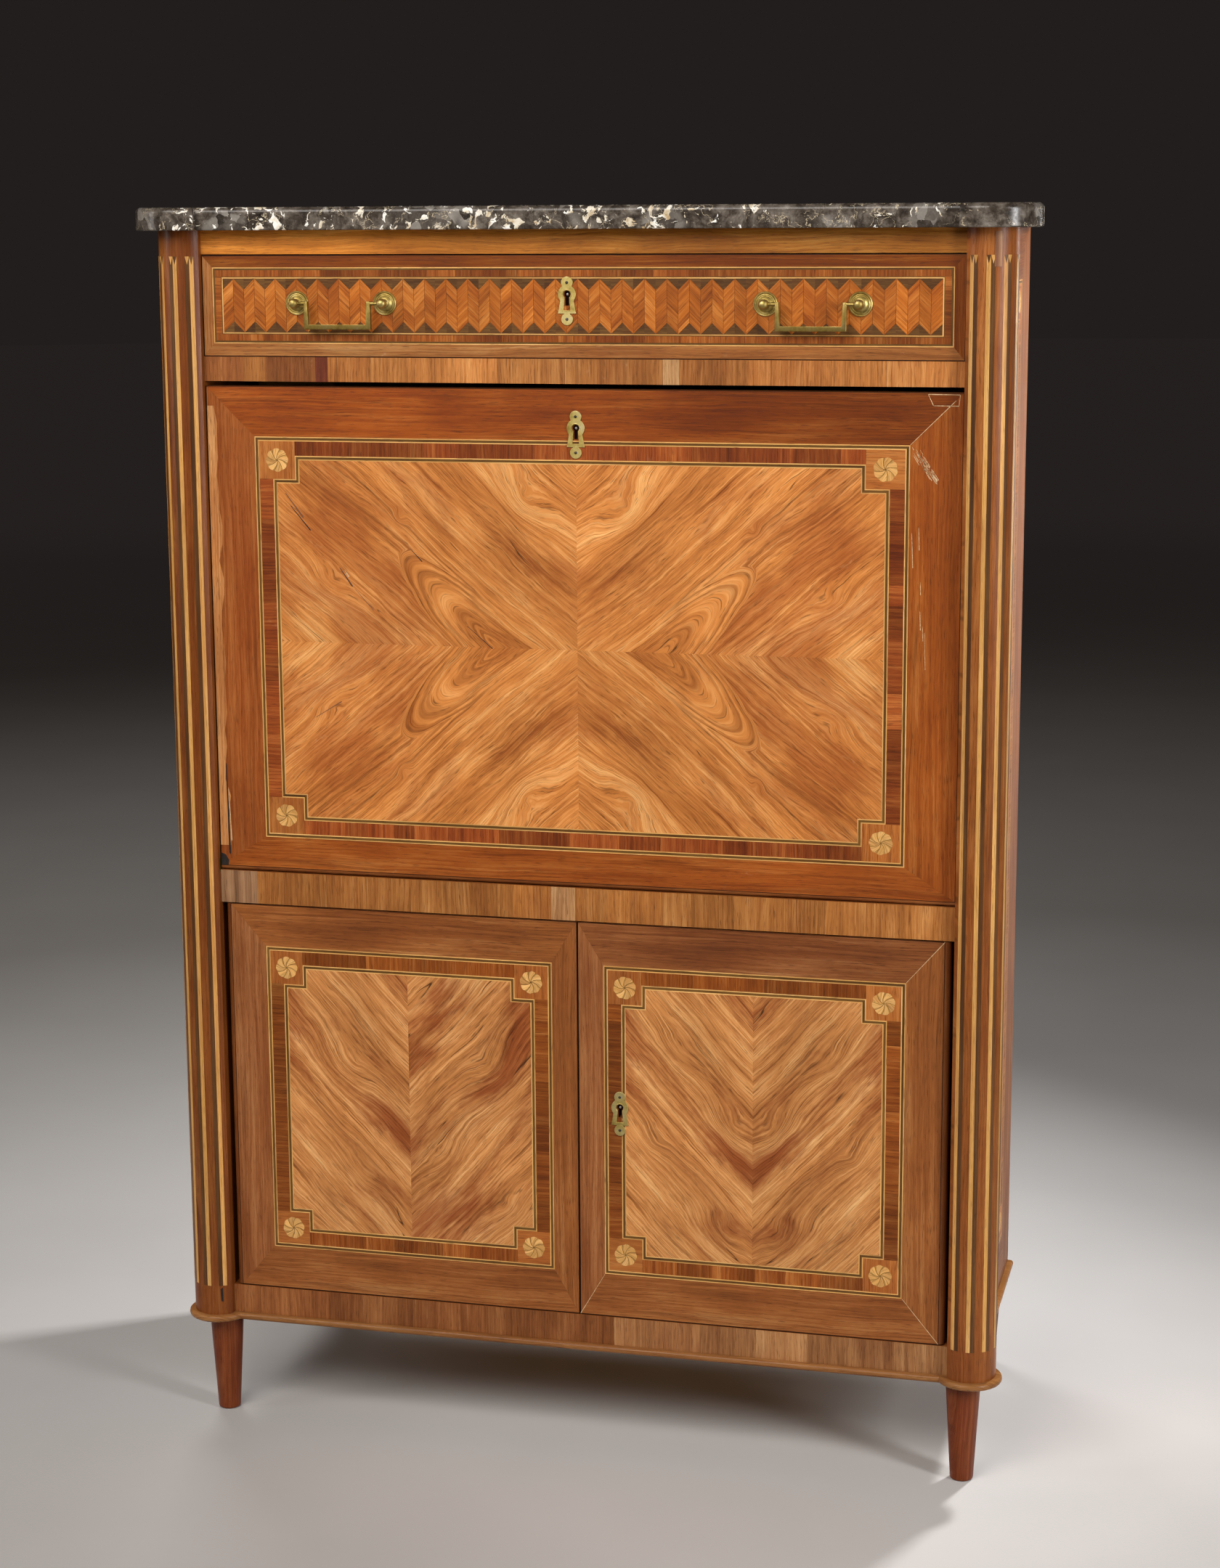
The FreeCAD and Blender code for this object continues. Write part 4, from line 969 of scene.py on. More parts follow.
def flap_marquetry():
    rng = random.Random(flap_seed)
    x0, z0, x1, z1 = panel_face("flap_panel")
    sheet = Sheet("flap_marquetry", "flap", on_front, window=keyhole_window("flap_escutcheon"))
    rails = (flap_frame_wood, flap_frame_wood, flap_top_wood, flap_left_wood)
    woods = (rails, dark_band_wood, (flap_tulip, flap_tulip))
    foot = z0 + flap_nose
    banded_panel(sheet, (x0, foot, x1, z1), flap_margins, flap_widths, woods, flap_seams, flap_grain, rng)
    right = Vector((x1, z1))
    sliver(sheet, *beside(right, flap_mitre), mitre_width, filler)
    patch = beside(right, flap_patch)
    for start, end in zip(patch[-1:] + patch, patch):
        sliver(sheet, start, end, flap_patch_line, filler)
    for run, spread, count in flap_rubs:
        scratches(sheet, *beside(right, run), spread, count, rng)
    low = foot + worn_foot
    high = z1 - worn_head
    worn = points((x0 + gap_shade_width, high), (x0 + gap_shade_width, low))
    for i in range(worn_steps + 1):
        worn.append(Vector((x0 + rng.uniform(*worn_width), low + (high - low) * i / worn_steps)))
    sheet.lay(worn, flap_edge_wood, 90.0, base=veneer_rise, rise=veneer_rise + inlay_rise / 2)
    left = Vector((x0, z1))
    for start, end, width, material in flap_flaws:
        sliver(sheet, *beside(left, (start, end)), width, material)
    sheet.lay(beside(left, flap_lost_corner), loss_and_gap_shade, base=veneer_rise, rise=inlay_level)
    sheet.finish()


# Doors: each sheet stops at the rounded outer edge that the door turns on
door_seed = 20
door_nose = 6.0
door_seam = 201.5
door_outer = 42.0
door_meeting = 29.4
door_bottom = 50.7
door_top = 48.7
door_widths = (15.5, 39.0)


def door_marquetry(name, leaves, window=None):
    """A door; the right one has filler in three of its mitres, and leaves that match."""
    side = sides[name]
    rng = random.Random(door_seed + side)
    x0, z0, x1, z1 = panel_face(name + "_door_panel")
    right = side > 0
    if right:
        face = (x0, z0, x1 - door_nose, z1)
        margins = (door_meeting, door_bottom, door_outer, door_top)
        top_wood = dark_door_wood
    else:
        face = (x0 + door_nose, z0, x1, z1)
        margins = (door_outer, door_bottom, door_meeting, door_top)
        top_wood = door_frame_wood
    rails = (door_frame_wood, door_frame_wood, top_wood, dark_door_wood)
    sheet = Sheet(name + "_door_marquetry", name + "_door", on_front, window=window)
    banded_panel(sheet, face, margins, door_widths, (rails, mid_band_wood, leaves), (side * door_seam, None),
                 door_grain, rng, matched=right)
    if right:
        outer = rectangle(*face)
        inner = within(face, margins)
        for corner in (2, 1, 0):
            sliver(sheet, inner[corner], outer[corner], mitre_width, filler)
    sheet.finish()


# Frieze drawer: a border, two runs of stringing round a crossband, and a field of chevrons
drawer_seed = 31
drawer_margins = (12.0, 14.0, 12.0, 13.0)
drawer_outer_strings = ((1.1, boxwood), (1.9, green_wood))
drawer_inner_strings = ((0.8, green_wood), (1.1, boxwood))
drawer_band = 7.2
drawer_lengths = (14, 40)
chevron_count = 65
chevron_rise = 12.0


def drawer_marquetry():
    rng = random.Random(drawer_seed)
    face = panel_face("drawer_front")
    sheet = Sheet("drawer_marquetry", "frieze_drawer", on_front, window=keyhole_window("drawer_escutcheon"))
    run = within(face, drawer_margins)
    rails = (drawer_worn_wood, drawer_border_wood, drawer_border_wood, drawer_worn_wood)
    sheet.frame(rectangle(*face), run, rails)
    run = sheet.rings(run, *drawer_outer_strings)
    sheet.crossbands(run, drawer_band, (0.0, drawer_band), mid_band_wood, rng, drawer_lengths)
    field = sheet.rings(inset(run, drawer_band), *drawer_inner_strings)
    low, high = field[0].y, field[2].y
    pitch = (field[2].x - field[0].x) / chevron_count
    lean = math.degrees(math.atan2(chevron_rise, pitch))
    for i in range(chevron_count):
        left = field[0].x + i * pitch
        right = left + pitch
        up = i % 2 == 0
        a, b = (0.0, chevron_rise) if up else (chevron_rise, 0.0)
        strip = points((left, low + a), (right, low + b), (right, high - a), (left, high - b))
        sheet.lay(strip, chevron_wood, lean if up else -lean, joint=chevron_joint)
        top, foot = (left, right) if up else (right, left)
        sheet.lay(points((left, high), (top, high - chevron_rise), (right, high)), dusk_wood)
        sheet.lay(points((left, low), (right, low), (foot, low + chevron_rise)), dusk_wood)
    sheet.finish()


# Rails: crossbanded in short lengths of varied tone, with bare places, patched places and a stretch of
# painted light, each from one x to another
rail_bands = {
    "drawer_rail": (rail_band_wood, [(-bay, -378, plinth_band_wood), (-378, -352, rail_band_wood),
                                     (-352, -294, plinth_band_wood), (-294, -280, ripple_wood),
                                     (100, 118, patch_wood)]),
    "middle_rail": (middle_band_wood, [(-bay, -380, bare_oak), (-30, -2, patch_wood)]),
    "bottom_rail": (plinth_band_wood, [(40, bay, lit_scuffed_plinth_wood)]),
}
rail_seed = 41
rail_lengths = (30.0, 110.0)
widest_patch = 60.0


def rail_banding(node, seed):
    rng = random.Random(seed)
    x0, z0, x1, z1 = panel_face(node)
    band_wood, patches = rail_bands[node]
    sheet = Sheet(node + "_banding", "case", on_front)
    cuts = sorted([x0, x1] + [x for a, b, material in patches for x in (a, b) if x0 < x < x1])
    for a, b in zip(cuts, cuts[1:]):
        patch = [material for start, end, material in patches if start <= a and b <= end]
        if patch and b - a < widest_patch:
            sheet.lay(rectangle(a, z0, b, z1), patch[0], 90.0)
        else:
            sheet.crossband(a, z0, b, z1, patch[0] if patch else band_wood, rng, rail_lengths)
    sheet.finish()


# Corner columns: the round's middle and radius, the flutes let into it in degrees round the column, a worn
# strip at the head of the right one and a slot at the foot of the left one
column_x = bay + 22.5
column_d = 12.2
column_radius = 30.0
column_facet = 1.5
flute_first = -28.0
flute_pitch = 35.5
flute_count = 5
flute_half = 9.0
flute_head = case_top - 28.0
flute_foot = case_top - 1228.0
flute_dart = 9.0
worn_head_strip = rectangle(14.5, flute_head - 12.0, 29.5, case_top - 4.0)
worn_head_rise = 0.4
post_slot = [(-28, -20), (-23, -19), (-22, -4), (-27, -2)]


def post_inlay(name):
    """Flutes of a light and a dark strip, with counterchanged darts at their heads, and the post's wear."""
    side = sides[name]
    sheet = Sheet(name + "_post_inlay", "case", on_column(side), "column", side < 0, facet=column_facet)
    for i in range(flute_count):
        middle = flute_first + i * flute_pitch
        strips = ((middle - flute_half, middle, flute_boxwood, flute_dark_wood),
                  (middle, middle + flute_half, flute_dark_wood, flute_boxwood))
        for a, b, material, other in strips:
            dart = points((a, flute_head), ((a + b) / 2, flute_head - flute_dart), (b, flute_head))
            sheet.lay(points((a, flute_foot), (b, flute_foot)) + dart[::-1], material, 90.0)
            sheet.lay(dart, other, 90.0)
    if side > 0:
        sheet.lay(worn_head_strip, rough_brown, 90.0, rise=worn_head_rise)
    else:
        sheet.lay(beside(Vector((0, flute_foot)), post_slot), loss_and_gap_shade, 90.0)
    sheet.finish()


# Sides: a plainer panel of the same make, with a bare place at the right one's lower front corner
side_seed = 50
side_margins = (38.0, 60.0, 38.0, 60.0)
side_bare = [(0, 0), (26, 0), (22, 30), (9, 54), (0, 56)]


def side_marquetry(name):
    side = sides[name]
    rng = random.Random(side_seed + side)
    x0, x1, y0, y1, z0, z1 = edges(name + "_side_panel")
    sheet = Sheet(name + "_side_marquetry", "case", on_side(side), "side_veneer", side < 0)
    front, rear = y0 - front_y, y1 - front_y
    woods = ([side_frame_wood] * 4, mid_band_wood, (side_tulip, side_tulip))
    banded_panel(sheet, (front, z0, rear, z1), side_margins, door_widths, woods, ((front + rear) / 2, None),
                 side_grain, rng)
    stile = rectangle(rear, z0, edges("rear_posts")[3] - front_y, z1)
    sheet.lay(stile, side_frame_wood, 90.0, joint=fine_joint)
    if side > 0:
        sheet.lay(beside(Vector((front, z0)), side_bare), bare_oak, 90.0, base=veneer_rise, rise=inlay_level)
    sheet.finish()


# Metal fittings
turned_segments = 48
rod_segments = 24
sharp_angle = 40.0


def bridge(mesh, rings):
    """Adds the faces between rings with as many points; at a tip the points are all the same."""
    for a, b in zip(rings, rings[1:]):
        for corners in rails_between(a, b):
            mesh.faces.new(list(dict.fromkeys(corners)))


def turn_profile(mesh, profile, centre):
    """Adds a closed turning about the depth axis: profile lists radius and height over the front."""
    rings = []
    for radius, height in profile:
        ring = []
        for k in range(turned_segments if radius else 1):
            x, z = spoke(Vector(centre), 360.0 * k / turned_segments, radius)
            ring.append(mesh.verts.new(on_front(x, z, height)))
        rings.append(ring if radius else ring * turned_segments)
    bridge(mesh, rings)


def metal_piece(name, mesh, body, material, *replaced, slot="brass"):
    """Makes a piece of a mesh under work, with its faces outwards and smooth but for sharp edges."""
    bmesh.ops.recalc_face_normals(mesh, faces=mesh.faces)
    for face in mesh.faces:
        face.smooth = True
    data = bpy.data.meshes.new(name)
    mesh.to_mesh(data)
    mesh.free()
    data.materials.append(material)
    data.set_sharp_from_angle(angle=math.radians(sharp_angle))
    return add_piece(name, data, body, slot, *replaced)


# Back: old oak planks, nailed at their ends. Shifts are the most that a figure or nail is off, across and up.
back_seed = 80
plank_count = 5
plank_rise = 0.8
plank_gap = 0.8
plank_shift = (20, 300)
nail_inset = 14.0
nail_spread = 45.0
nail_shift = (6, 3)
gap_shade_rise = 0.08
nail_profile = [(0.0, 0.0), (3.4, 0.0), (3.1, 0.5), (1.8, 0.9), (0.0, 1.0)]


def back_boards():
    rng = random.Random(back_seed)
    x0, x1, y0, y1, z0, z1 = edges("back_planks")

    def near(x, z, shift):
        return x + rng.uniform(-shift[0], shift[0]), z + rng.uniform(-shift[1], shift[1])

    sheet = Sheet("back_boards", "case", on_plane(y1, 1), "oak", True)
    nails = bmesh.new()
    over = front_y - y1 - plank_rise
    profile = [(radius, over - height) for radius, height in nail_profile]
    width = (x1 - x0) / plank_count
    for i in range(plank_count):
        left = x0 + i * width
        middle = left + width / 2
        start = near(middle, (z0 + z1) / 2, plank_shift)
        turn = rng.choice((-1, 1))
        plank = rectangle(left, z0, left + width, z1)
        sheet.lay(plank, plank_oak, 90.0, start, (turn, turn), rise=plank_rise, joint=plank_gap)
        # A near-black strip under each gap between planks: painted shade in the gap.
        if i:
            sheet.lay(rectangle(left - plank_gap, z0, left + plank_gap, z1), loss_and_gap_shade, 90.0, rise=gap_shade_rise)
        for z in (z0 + nail_inset, z1 - nail_inset):
            for aside in (-nail_spread, nail_spread):
                turn_profile(nails, profile, near(middle + aside, z, nail_shift))
    sheet.finish()
    metal_piece("back_nails", nails, "case", iron, slot="iron")


# Bail handles: a square bar on two ball posts, each over a rosette. Profiles list radius and height.
bail_bar = 4.5
bail_arm = 36.0
bail_edge = 0.7
bail_edge_steps = 3
bail_edge_profile = 0.6
bail_pin_radius = 1.8
bail_pin_lap = 0.5
bail_collar_radius = 2.2
bail_collar_length = 5.2
bail_collar_lap = 1.0
post_spread = 50.75
rosette_profile = [(0.0, 0.3), (13.2, 0.3), (13.3, 1.0), (12.9, 1.7), (12.2, 2.1), (11.5, 1.9), (11.1, 1.4),
                   (10.7, 1.3), (10.3, 1.6), (9.8, 1.8), (9.3, 1.6), (8.9, 1.3), (8.3, 1.4), (7.8, 2.1),
                   (7.2, 2.7), (6.5, 3.0), (6.1, 3.5), (5.2, 3.8), (0.0, 3.8)]
ball_profile = [(0.0, 3.0), (4.4, 3.0), (4.6, 4.0), (3.8, 4.8), (3.2, 6.0), (3.3, 7.4), (4.0, 8.4),
                (5.0, 10.4), (5.4, 12.6), (5.2, 14.8), (4.4, 16.6), (3.0, 17.8), (1.4, 18.3), (0.0, 18.4)]


def handle_fittings():
    rosettes = bmesh.new()
    balls = bmesh.new()
    for name in sides:
        x0, x1, y0, y1, z0, z1 = edges(name + "_bail")
        for aside in (-post_spread, post_spread):
            place = ((x0 + x1) / 2 + aside, z1 - bail_bar / 2)
            turn_profile(rosettes, rosette_profile, place)
            turn_profile(balls, ball_profile, place)
    metal_piece("rosettes", rosettes, "frieze_drawer", brass, "handle_rosettes")
    metal_piece("ball_posts", balls, "frieze_drawer", brass, "handle_posts")


def prism(mesh, outline, y0, y1):
    """Adds a flat outline in x and z, drawn out in y, and returns its edges."""
    front = [mesh.verts.new(Vector((x, y0, z)) * MM) for x, z in outline]
    back = [mesh.verts.new(Vector((x, y1, z)) * MM) for x, z in outline]
    faces = [mesh.faces.new(front), mesh.faces.new(back[::-1])]
    faces += [mesh.faces.new(rail) for rail in rails_between(back, front)]
    return list(dict.fromkeys(edge for face in faces for edge in face.edges))


def in_order(mesh):
    """The same mesh with its points and faces sorted by place, because a bevel leaves them in any order."""
    bmesh.ops.recalc_face_normals(mesh, faces=mesh.faces)
    corners = sorted(mesh.verts, key=lambda vert: tuple(vert.co))
    number = {vert: i for i, vert in enumerate(corners)}
    loops = []
    for face in mesh.faces:
        loop = [number[vert] for vert in face.verts]
        first = loop.index(min(loop))
        loops.append(loop[first:] + loop[:first])
    ordered = bmesh.new()
    verts = [ordered.verts.new(vert.co) for vert in corners]
    for loop in sorted(loops):
        ordered.faces.new([verts[i] for i in loop])
    mesh.free()
    return ordered


def add_rod(mesh, start, end, y, z, radius):
    """Adds a round rod along x from start to end."""
    place = Vector(((start + end) / 2, y, z)) * MM
    turn = Matrix.Rotation(math.pi / 2, 4, "Y")
    bmesh.ops.create_cone(mesh, cap_ends=True, segments=rod_segments, radius1=radius * MM,
                          radius2=radius * MM, depth=abs(end - start) * MM,
                          matrix=Matrix.Translation(place) @ turn)


def bail_bar_piece(name):
    """A square bar bent into a bracket, with round ends that turn in the balls."""
    node = name + "_bail"
    x0, x1, y0, y1, z0, z1 = edges(node)
    middle = (x0 + x1) / 2
    y = (y0 + y1) / 2
    z = z1 - bail_bar / 2
    out = bail_arm + bail_bar / 2
    inside = bail_arm - bail_bar / 2
    outline = [(-out, z0), (out, z0), (out, z1), (inside, z1), (inside, z0 + bail_bar),
               (-inside, z0 + bail_bar), (-inside, z1), (-out, z1)]
    mesh = bmesh.new()
    corners = prism(mesh, [(middle + x, z) for x, z in outline], y0, y1)
    bmesh.ops.bevel(mesh, geom=corners, offset=bail_edge * MM, segments=bail_edge_steps, affect="EDGES",
                    profile=bail_edge_profile)
    for side, end in ((-1, x0), (1, x1)):
        add_rod(mesh, middle + side * (inside + bail_pin_lap), end, y, z, bail_pin_radius)
        collar = out - bail_collar_lap
        add_rod(mesh, middle + side * collar, middle + side * (collar + bail_collar_length), y, z,
                bail_collar_radius)
    metal_piece(name + "_bail_bar", in_order(mesh), name + "_handle", bail_brass, node)


# Keyhole plates and the pins behind them
plate_lobes = (plate_lobe_rise, -plate_lobe_drop)
plate_pin_profile = [(0.0, 1.6), (1.7, 1.6), (1.6, 1.95), (1.1, 2.15), (0.5, 2.25), (0.0, 2.3)]
keyhole_rim = 0.8
rim_radius = 0.45
rim_sides = 8
lock_pin_radius = 1.6
lock_pin_recess = 0.6
lock_pin_turns = (0.0, 0.3, 0.6, 0.9, 1.2)


def plate_half_width(z):
    """Half the width of a keyhole plate at a height."""
    widths = [0.0]
    for middle, radius in ((plate_lobes[0], plate_lobe_radius), (0.0, plate_round),
                           (plate_lobes[1], plate_lobe_radius)):
        if abs(z - middle) < radius:
            widths.append(math.sqrt(radius ** 2 - (z - middle) ** 2))
    if -plate_skirt <= z <= 0:
        widths.append(plate_waist + (plate_round - plate_waist) * (-z / plate_skirt))
    return max(widths)


def plate_outline():
    top = plate_lobes[0] + plate_lobe_radius
    bottom = plate_lobes[1] - plate_lobe_radius
    shares = [0.5 - 0.5 * math.cos(math.pi * i / plate_steps) for i in range(plate_steps + 1)]
    heights = [bottom + (top - bottom) * share for share in shares]
    right = [(plate_half_width(z), z) for z in sorted(heights + [-plate_skirt, -plate_skirt - skirt_edge])]
    return points(*right[:-1]) + [Vector((-x, z)) for x, z in reversed(right[1:])]


def keyhole_outline():
    """A round over a slot that spreads towards its foot."""
    start = math.degrees(math.acos(keyhole_neck / keyhole_radius))
    upper = arc_points(Vector((0, 0)), keyhole_radius, -start, 180 + start, keyhole_steps)
    return upper + points((-keyhole_foot, -keyhole_reach), (keyhole_foot, -keyhole_reach))


def flat_plate(outlines):
    """A plate with holes, cut from closed outlines, with rounded edges, as a mesh in x and y."""
    curve = bpy.data.curves.new("plate", "CURVE")
    curve.dimensions = "2D"
    curve.fill_mode = "BOTH"
    curve.extrude = (plate_thickness / 2 - plate_edge) * MM
    curve.bevel_depth = plate_edge * MM
    curve.bevel_resolution = 2
    curve.offset = -plate_edge * MM
    for outline in outlines:
        spline = curve.splines.new("POLY")
        spline.points.add(len(outline) - 1)
        spline.use_cyclic_u = True
        for point, p in zip(spline.points, outline):
            point.co = (p.x * MM, p.y * MM, 0.0, 1.0)
    shown = bpy.data.objects.new("plate", curve)
    mesh = bpy.data.meshes.new_from_object(shown)
    bpy.data.objects.remove(shown)
    return mesh


def add_rim(mesh, outline, height):
    """Adds a thin round bead that follows a closed outline at a height over the front."""
    rings = []
    for before, p, after in zip(outline[-1:] + outline, outline, outline[1:] + outline[:1]):
        out = (after - before).normalized()
        ring = []
        for k in range(rim_sides):
            aside, rise = spoke(Vector((0, 0)), 360.0 * k / rim_sides, rim_radius)
            x, z = p + Vector((out.y, -out.x)) * aside
            ring.append(mesh.verts.new(on_front(x, z, height + rise)))
        rings.append(ring)
    bridge(mesh, rings + rings[:1])


def key_plate(name, body):
    """A keyhole plate with a pin in each lobe and a raised rim round the keyhole."""
    node = name + "_escutcheon"
    x, z = keyhole_of(node)
    mesh = bmesh.new()
    mesh.from_mesh(flat_plate([plate_outline(), keyhole_outline()]))
    upright = Matrix.Rotation(math.pi / 2, 4, "X")
    middle = on_front(x, z, veneer_rise + plate_thickness / 2)
    bmesh.ops.transform(mesh, matrix=Matrix.Translation(middle) @ upright, verts=mesh.verts)
    rim = beside(Vector((x, z)), inset(keyhole_outline(), -keyhole_rim))
    add_rim(mesh, rim, veneer_rise + plate_thickness)
    plate_faces = len(mesh.faces)
    for lobe in plate_lobes:
        turn_profile(mesh, plate_pin_profile, (x, z + lobe))
    mesh.faces.ensure_lookup_table()
    for face in mesh.faces[plate_faces:]:
        face.material_index = 1
    plate = metal_piece(name + "_key_plate", mesh, body, plate_brass, node)
    plate.data.materials.append(iron)


def lock_pin(name, body):
    """The pin in a lock that a pipe key turns on, seen through the keyhole."""
    depth = edges(name + "_lock")[2] - front_y
    r = lock_pin_radius
    shoulder = -lock_pin_recess - r
    dome = [(r * math.cos(turn), shoulder + r * math.sin(turn)) for turn in lock_pin_turns]
    mesh = bmesh.new()
    profile = [(0.0, -depth), (r, -depth), *dome, (0.0, shoulder + r)]
    turn_profile(mesh, profile, keyhole_of(name + "_escutcheon"))
    metal_piece(name + "_lock_pin", mesh, body, steel, slot="iron")


# Writing compartment: banded fronts on the small drawers, behind their knobs, and lines tooled on the leather
small_seed = 2
knob_reach = 16.0
small_margin = 9.0
small_strings = ((1.0, boxwood), (1.4, green_wood))
tooling_rise = 0.05
tooling_lines = ((9.0, 1.2), (12.5, 0.7), (24.0, 0.7))
stamp_inset = 18.6
stamp_pitch = 11.0
stamp_radius = 2.2


def small_drawer_banding(place, seed):
    node = place + "_small_drawer"
    x0, x1, y0, y1, z0, z1 = edges(node)
    sheet = Sheet(node + "_banding", place + "_drawer", on_plane(y0 + knob_reach, -1), "fitting")
    face = rectangle(x0, z0, x1, z1)
    run = inset(face, small_margin)
    sheet.frame(face, run, [mid_band_wood] * 4)
    field = sheet.rings(run, *small_strings)
    middle = ((x0 + x1) / 2, (z0 + z1) / 2)
    for side in (-1, 1):
        half = clip(field, 0, middle[0], side)
        sheet.lay(half, fitting_tulip, small_grain, middle, (side, 1), seed=seed + side * leaf_step)
    sheet.finish()


def leather_tooling():
    x0, x1, y0, y1, z0, z1 = edges("flap_leather")
    sheet = Sheet("leather_tooling", "flap", on_plane(y1, 1), "leather", True)
    border = rectangle(x0, z0, x1, z1)
    for start, width in tooling_lines:
        sheet.rings(inset(border, start), (width, gold), rise=tooling_rise)
    path = inset(border, stamp_inset)
    for start, end in around(path):
        run = end - start
        count = int(run.length // stamp_pitch)
        for k in range(count):
            centre = start + run * ((k + 0.5) / count)
            sheet.lay(arc_points(centre, stamp_radius, 45, 405, 4)[:-1], gold, rise=tooling_rise)
    sheet.finish()


# Carried-over pieces and their materials
small_drawers = ("lower_left", "lower_right", "upper_left", "upper_right")
node_materials = {
    shell_marble: ["marble_top"],
    shaded_left_post_wood: ["left_corner_post"],
    lit_right_post_wood: ["right_corner_post"],
    frieze_wood: ["frieze_rail"],
    board_wood: ["drawer_front", "flap_panel", "drawer_rail", "middle_rail", "bottom_rail"],
    door_board_wood: ["left_door_panel", "right_door_panel", "left_side_panel", "right_side_panel"],
    moulding_wood: ["base_moulding"],
    foot_wood: ["front_feet", "rear_feet"],
    satin_level: ["writing_floor", "nest_shelves"],
    satin_deep: ["nest_sides", "nest_dividers"] + [place + "_small_drawer" for place in small_drawers],
    oak_level: ["top_board", "dust_board", "bottom_board", "cupboard_shelf", "drawer_back", "drawer_bottom",
                "door_stops"],
    oak_deep: ["drawer_sides", "drawer_guides", "shelf_cleats"],
    old_oak: ["rear_posts", "back_planks"],
    dull_brass: ["flap_pivot_plates", "door_hinge_plates", "handle_nuts", "flap_pivots", "flap_stays",
                 "left_door_hinges", "right_door_hinges", "left_door_bolt_plates", "left_door_top_bolt",
                 "left_door_bottom_bolt"],
    iron: [name + end for name in ("drawer", "flap", "door") for end in ("_lock", "_lock_bolt")],
    green_leather: ["flap_leather"],
}
for material, nodes in node_materials.items():
    for node in nodes:
        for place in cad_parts[node].material_slots:
            place.material = material

locked = {"drawer": "frieze_drawer", "flap": "flap", "door": "right_door"}
flap_marquetry()
door_marquetry("left", (left_leaf, right_leaf))
door_marquetry("right", (right_tulip, right_tulip), keyhole_window("door_escutcheon"))
drawer_marquetry()
for seed, node in enumerate(rail_bands, rail_seed):
    rail_banding(node, seed)
for name in sides:
    post_inlay(name)
    side_marquetry(name)
handle_fittings()
for name in sides:
    bail_bar_piece(name)
for name, body in locked.items():
    key_plate(name, body)
for name, body in locked.items():
    lock_pin(name, body)
for seed, place in enumerate(small_drawers, small_seed):
    small_drawer_banding(place, seed)
leather_tooling()
back_boards()


# Floor, light and camera, in metres. The camera has its place, its turn in degrees from a level view along
# +Y, and its focal length for a frame of 1680 by 2160. The floor's tones, by distance from its middle, paint
# a pool of light round the object; far out the floor glows with the room's dark tone.
camera_place = (0.802, -3.2121, 1.4068)
camera_turn = (11.17, 14.0, 1.05)
focal_pixels = 3973.0
frame_height_pixels = 2160.0
sensor = 36.0
floor_reach = 30.0
floor_segments = 96
floor_middle = (0.25, 0.0, 0.0)
floor_tones = [(0.0, "bab7b5"), (0.45, "bab7b5"), (0.9, "a5a2a0"), (1.5, "9c9996"), (2.6, "77736f"),
               (5.0, "6e6a67"), (9.0, "2a2625")]
fade_start = 3.5
fade_end = 11.0
room_tone = "221e1d"
fill_tone = "3c3937"
light_target = (0.0, 0.0, 0.75)


def studio_floor():
    """A wide floor with a painted pool of light: pale round the object and falling away to the dark of the
    room, where it glows with the room's tone.
    """
    s = Surface("studio_floor")
    reach = s.add("VectorMath", "Value", {0: s.place(), 1: floor_middle}, operation="DISTANCE")
    furthest = floor_tones[-1][0]
    s.colour = s.ramp(reach / furthest, [(r / furthest, code) for r, code in floor_tones])
    s.shade(s.between(s.noise(s.place(), 3.0, 4.0), 0.3, 0.7, 0.98, 1.02))
    s.shader.inputs["Emission Color"].default_value = tone(room_tone)
    s.feed(s.shader.inputs["Emission Strength"], s.between(reach, fade_start, fade_end))
    mesh = bpy.data.meshes.new("studio_floor")
    disc = bmesh.new()
    bmesh.ops.create_circle(disc, cap_ends=True, segments=floor_segments, radius=floor_reach)
    disc.to_mesh(mesh)
    disc.free()
    mesh.materials.append(s.finish(0.9, specular=0.1))
    floor = bpy.data.objects.new("studio_floor", mesh)
    scene.collection.objects.link(floor)


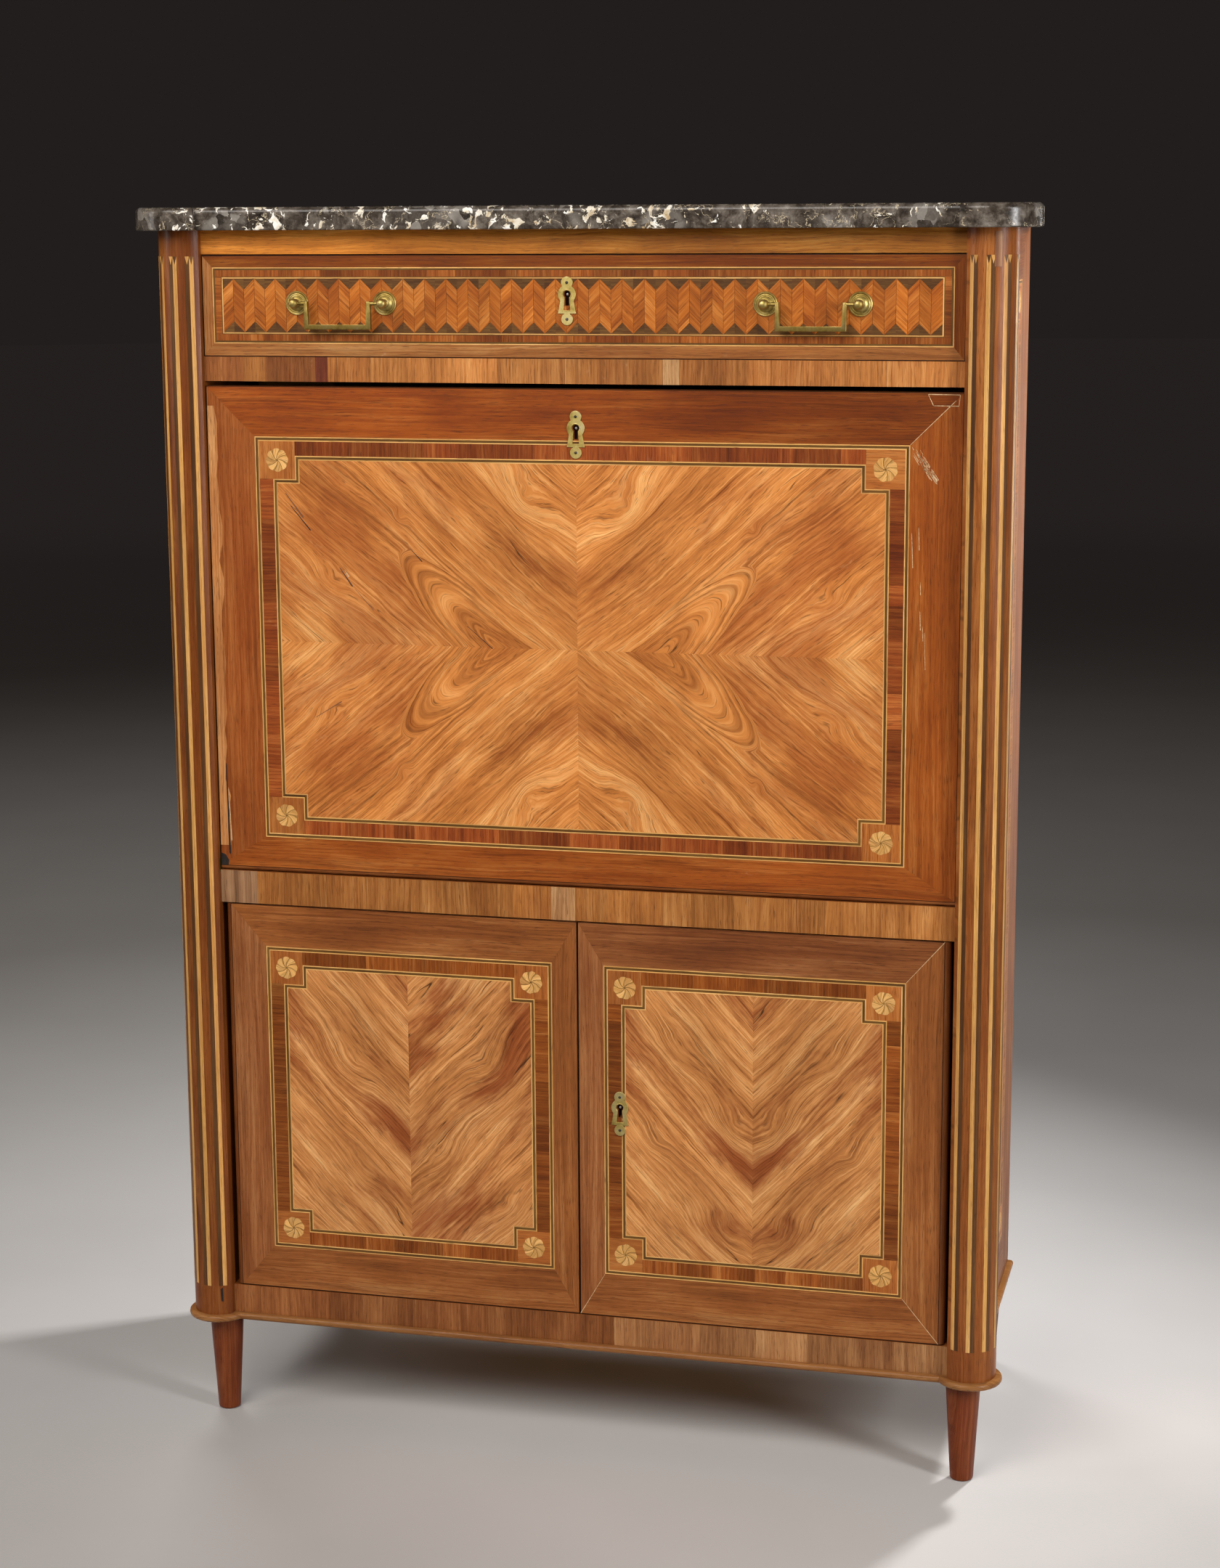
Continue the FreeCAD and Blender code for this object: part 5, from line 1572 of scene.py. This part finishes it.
def lamp(name, place, target, width, height, power, code="ffffff", spread=180.0, mirrored=True):
    """An area lamp; one that isn't mirrored leaves no reflection of itself on polished surfaces."""
    light = bpy.data.lights.new(name, "AREA")
    light.spread = math.radians(spread)
    light.shape = "RECTANGLE"
    light.size = width
    light.size_y = height
    light.energy = power
    light.color = tone(code)[:3]
    shown = bpy.data.objects.new(name, light)
    shown.location = place
    shown.rotation_euler = (Vector(target) - Vector(place)).to_track_quat("-Z", "Y").to_euler()
    shown.visible_glossy = mirrored
    scene.collection.objects.link(shown)


def studio_world():
    """Dim fill from all round; the eye and polished surfaces see the dark room."""
    world = bpy.data.worlds.new("room")
    world.use_nodes = True
    scene.world = world
    room = Graph(world.node_tree)
    rays = [room.add("LightPath", output, {}) for output in ("Is Camera Ray", "Is Glossy Ray")]
    colour = room.mix(room.math("MAXIMUM", *rays), tone(fill_tone), tone(room_tone))
    room.feed(world.node_tree.nodes["Background"].inputs["Color"], colour)


def set_camera():
    """The photograph's view: a level view along +Y, turned by one rotation vector."""
    turn = Vector([math.radians(value) for value in camera_turn])
    level = Matrix(((1, 0, 0), (0, 0, -1), (0, 1, 0)))
    to_camera = Matrix.Rotation(turn.length, 3, turn.normalized()) @ level
    upright = Matrix.Diagonal((1, -1, -1)) @ to_camera
    camera = bpy.data.cameras.new("camera")
    camera.sensor_width = sensor
    camera.lens = focal_pixels / frame_height_pixels * sensor
    camera.clip_end = 100.0
    shown = bpy.data.objects.new("camera", camera)
    shown.matrix_world = Matrix.Translation(camera_place) @ upright.transposed().to_4x4()
    scene.collection.objects.link(shown)
    scene.camera = shown


studio_floor()
studio_world()
lamp("front_softbox", (-0.8, -2.7, 2.9), light_target, 2.3, 1.8, 106.0, "fffaf4")
lamp("left_strip", (-2.7, -1.3, 1.6), light_target, 0.5, 1.4, 2.3, spread=70.0)
lamp("right_strip", (2.7, -1.5, 1.6), light_target, 0.5, 1.4, 62.0)
lamp("rim_strip", (1.4, 1.3, 0.8), (0.46, 0.1, 0.8), 0.2, 1.1, 0.4, spread=20.0)
lamp("rear_lamp", (1.0, 1.17, 1.7), (-0.9, -0.5, 0.0), 0.2, 0.2, 21.5, spread=100.0, mirrored=False)
lamp("rear_fill", (-1.8, 2.6, 3.4), light_target, 1.4, 1.4, 72.0, mirrored=False)
set_camera()
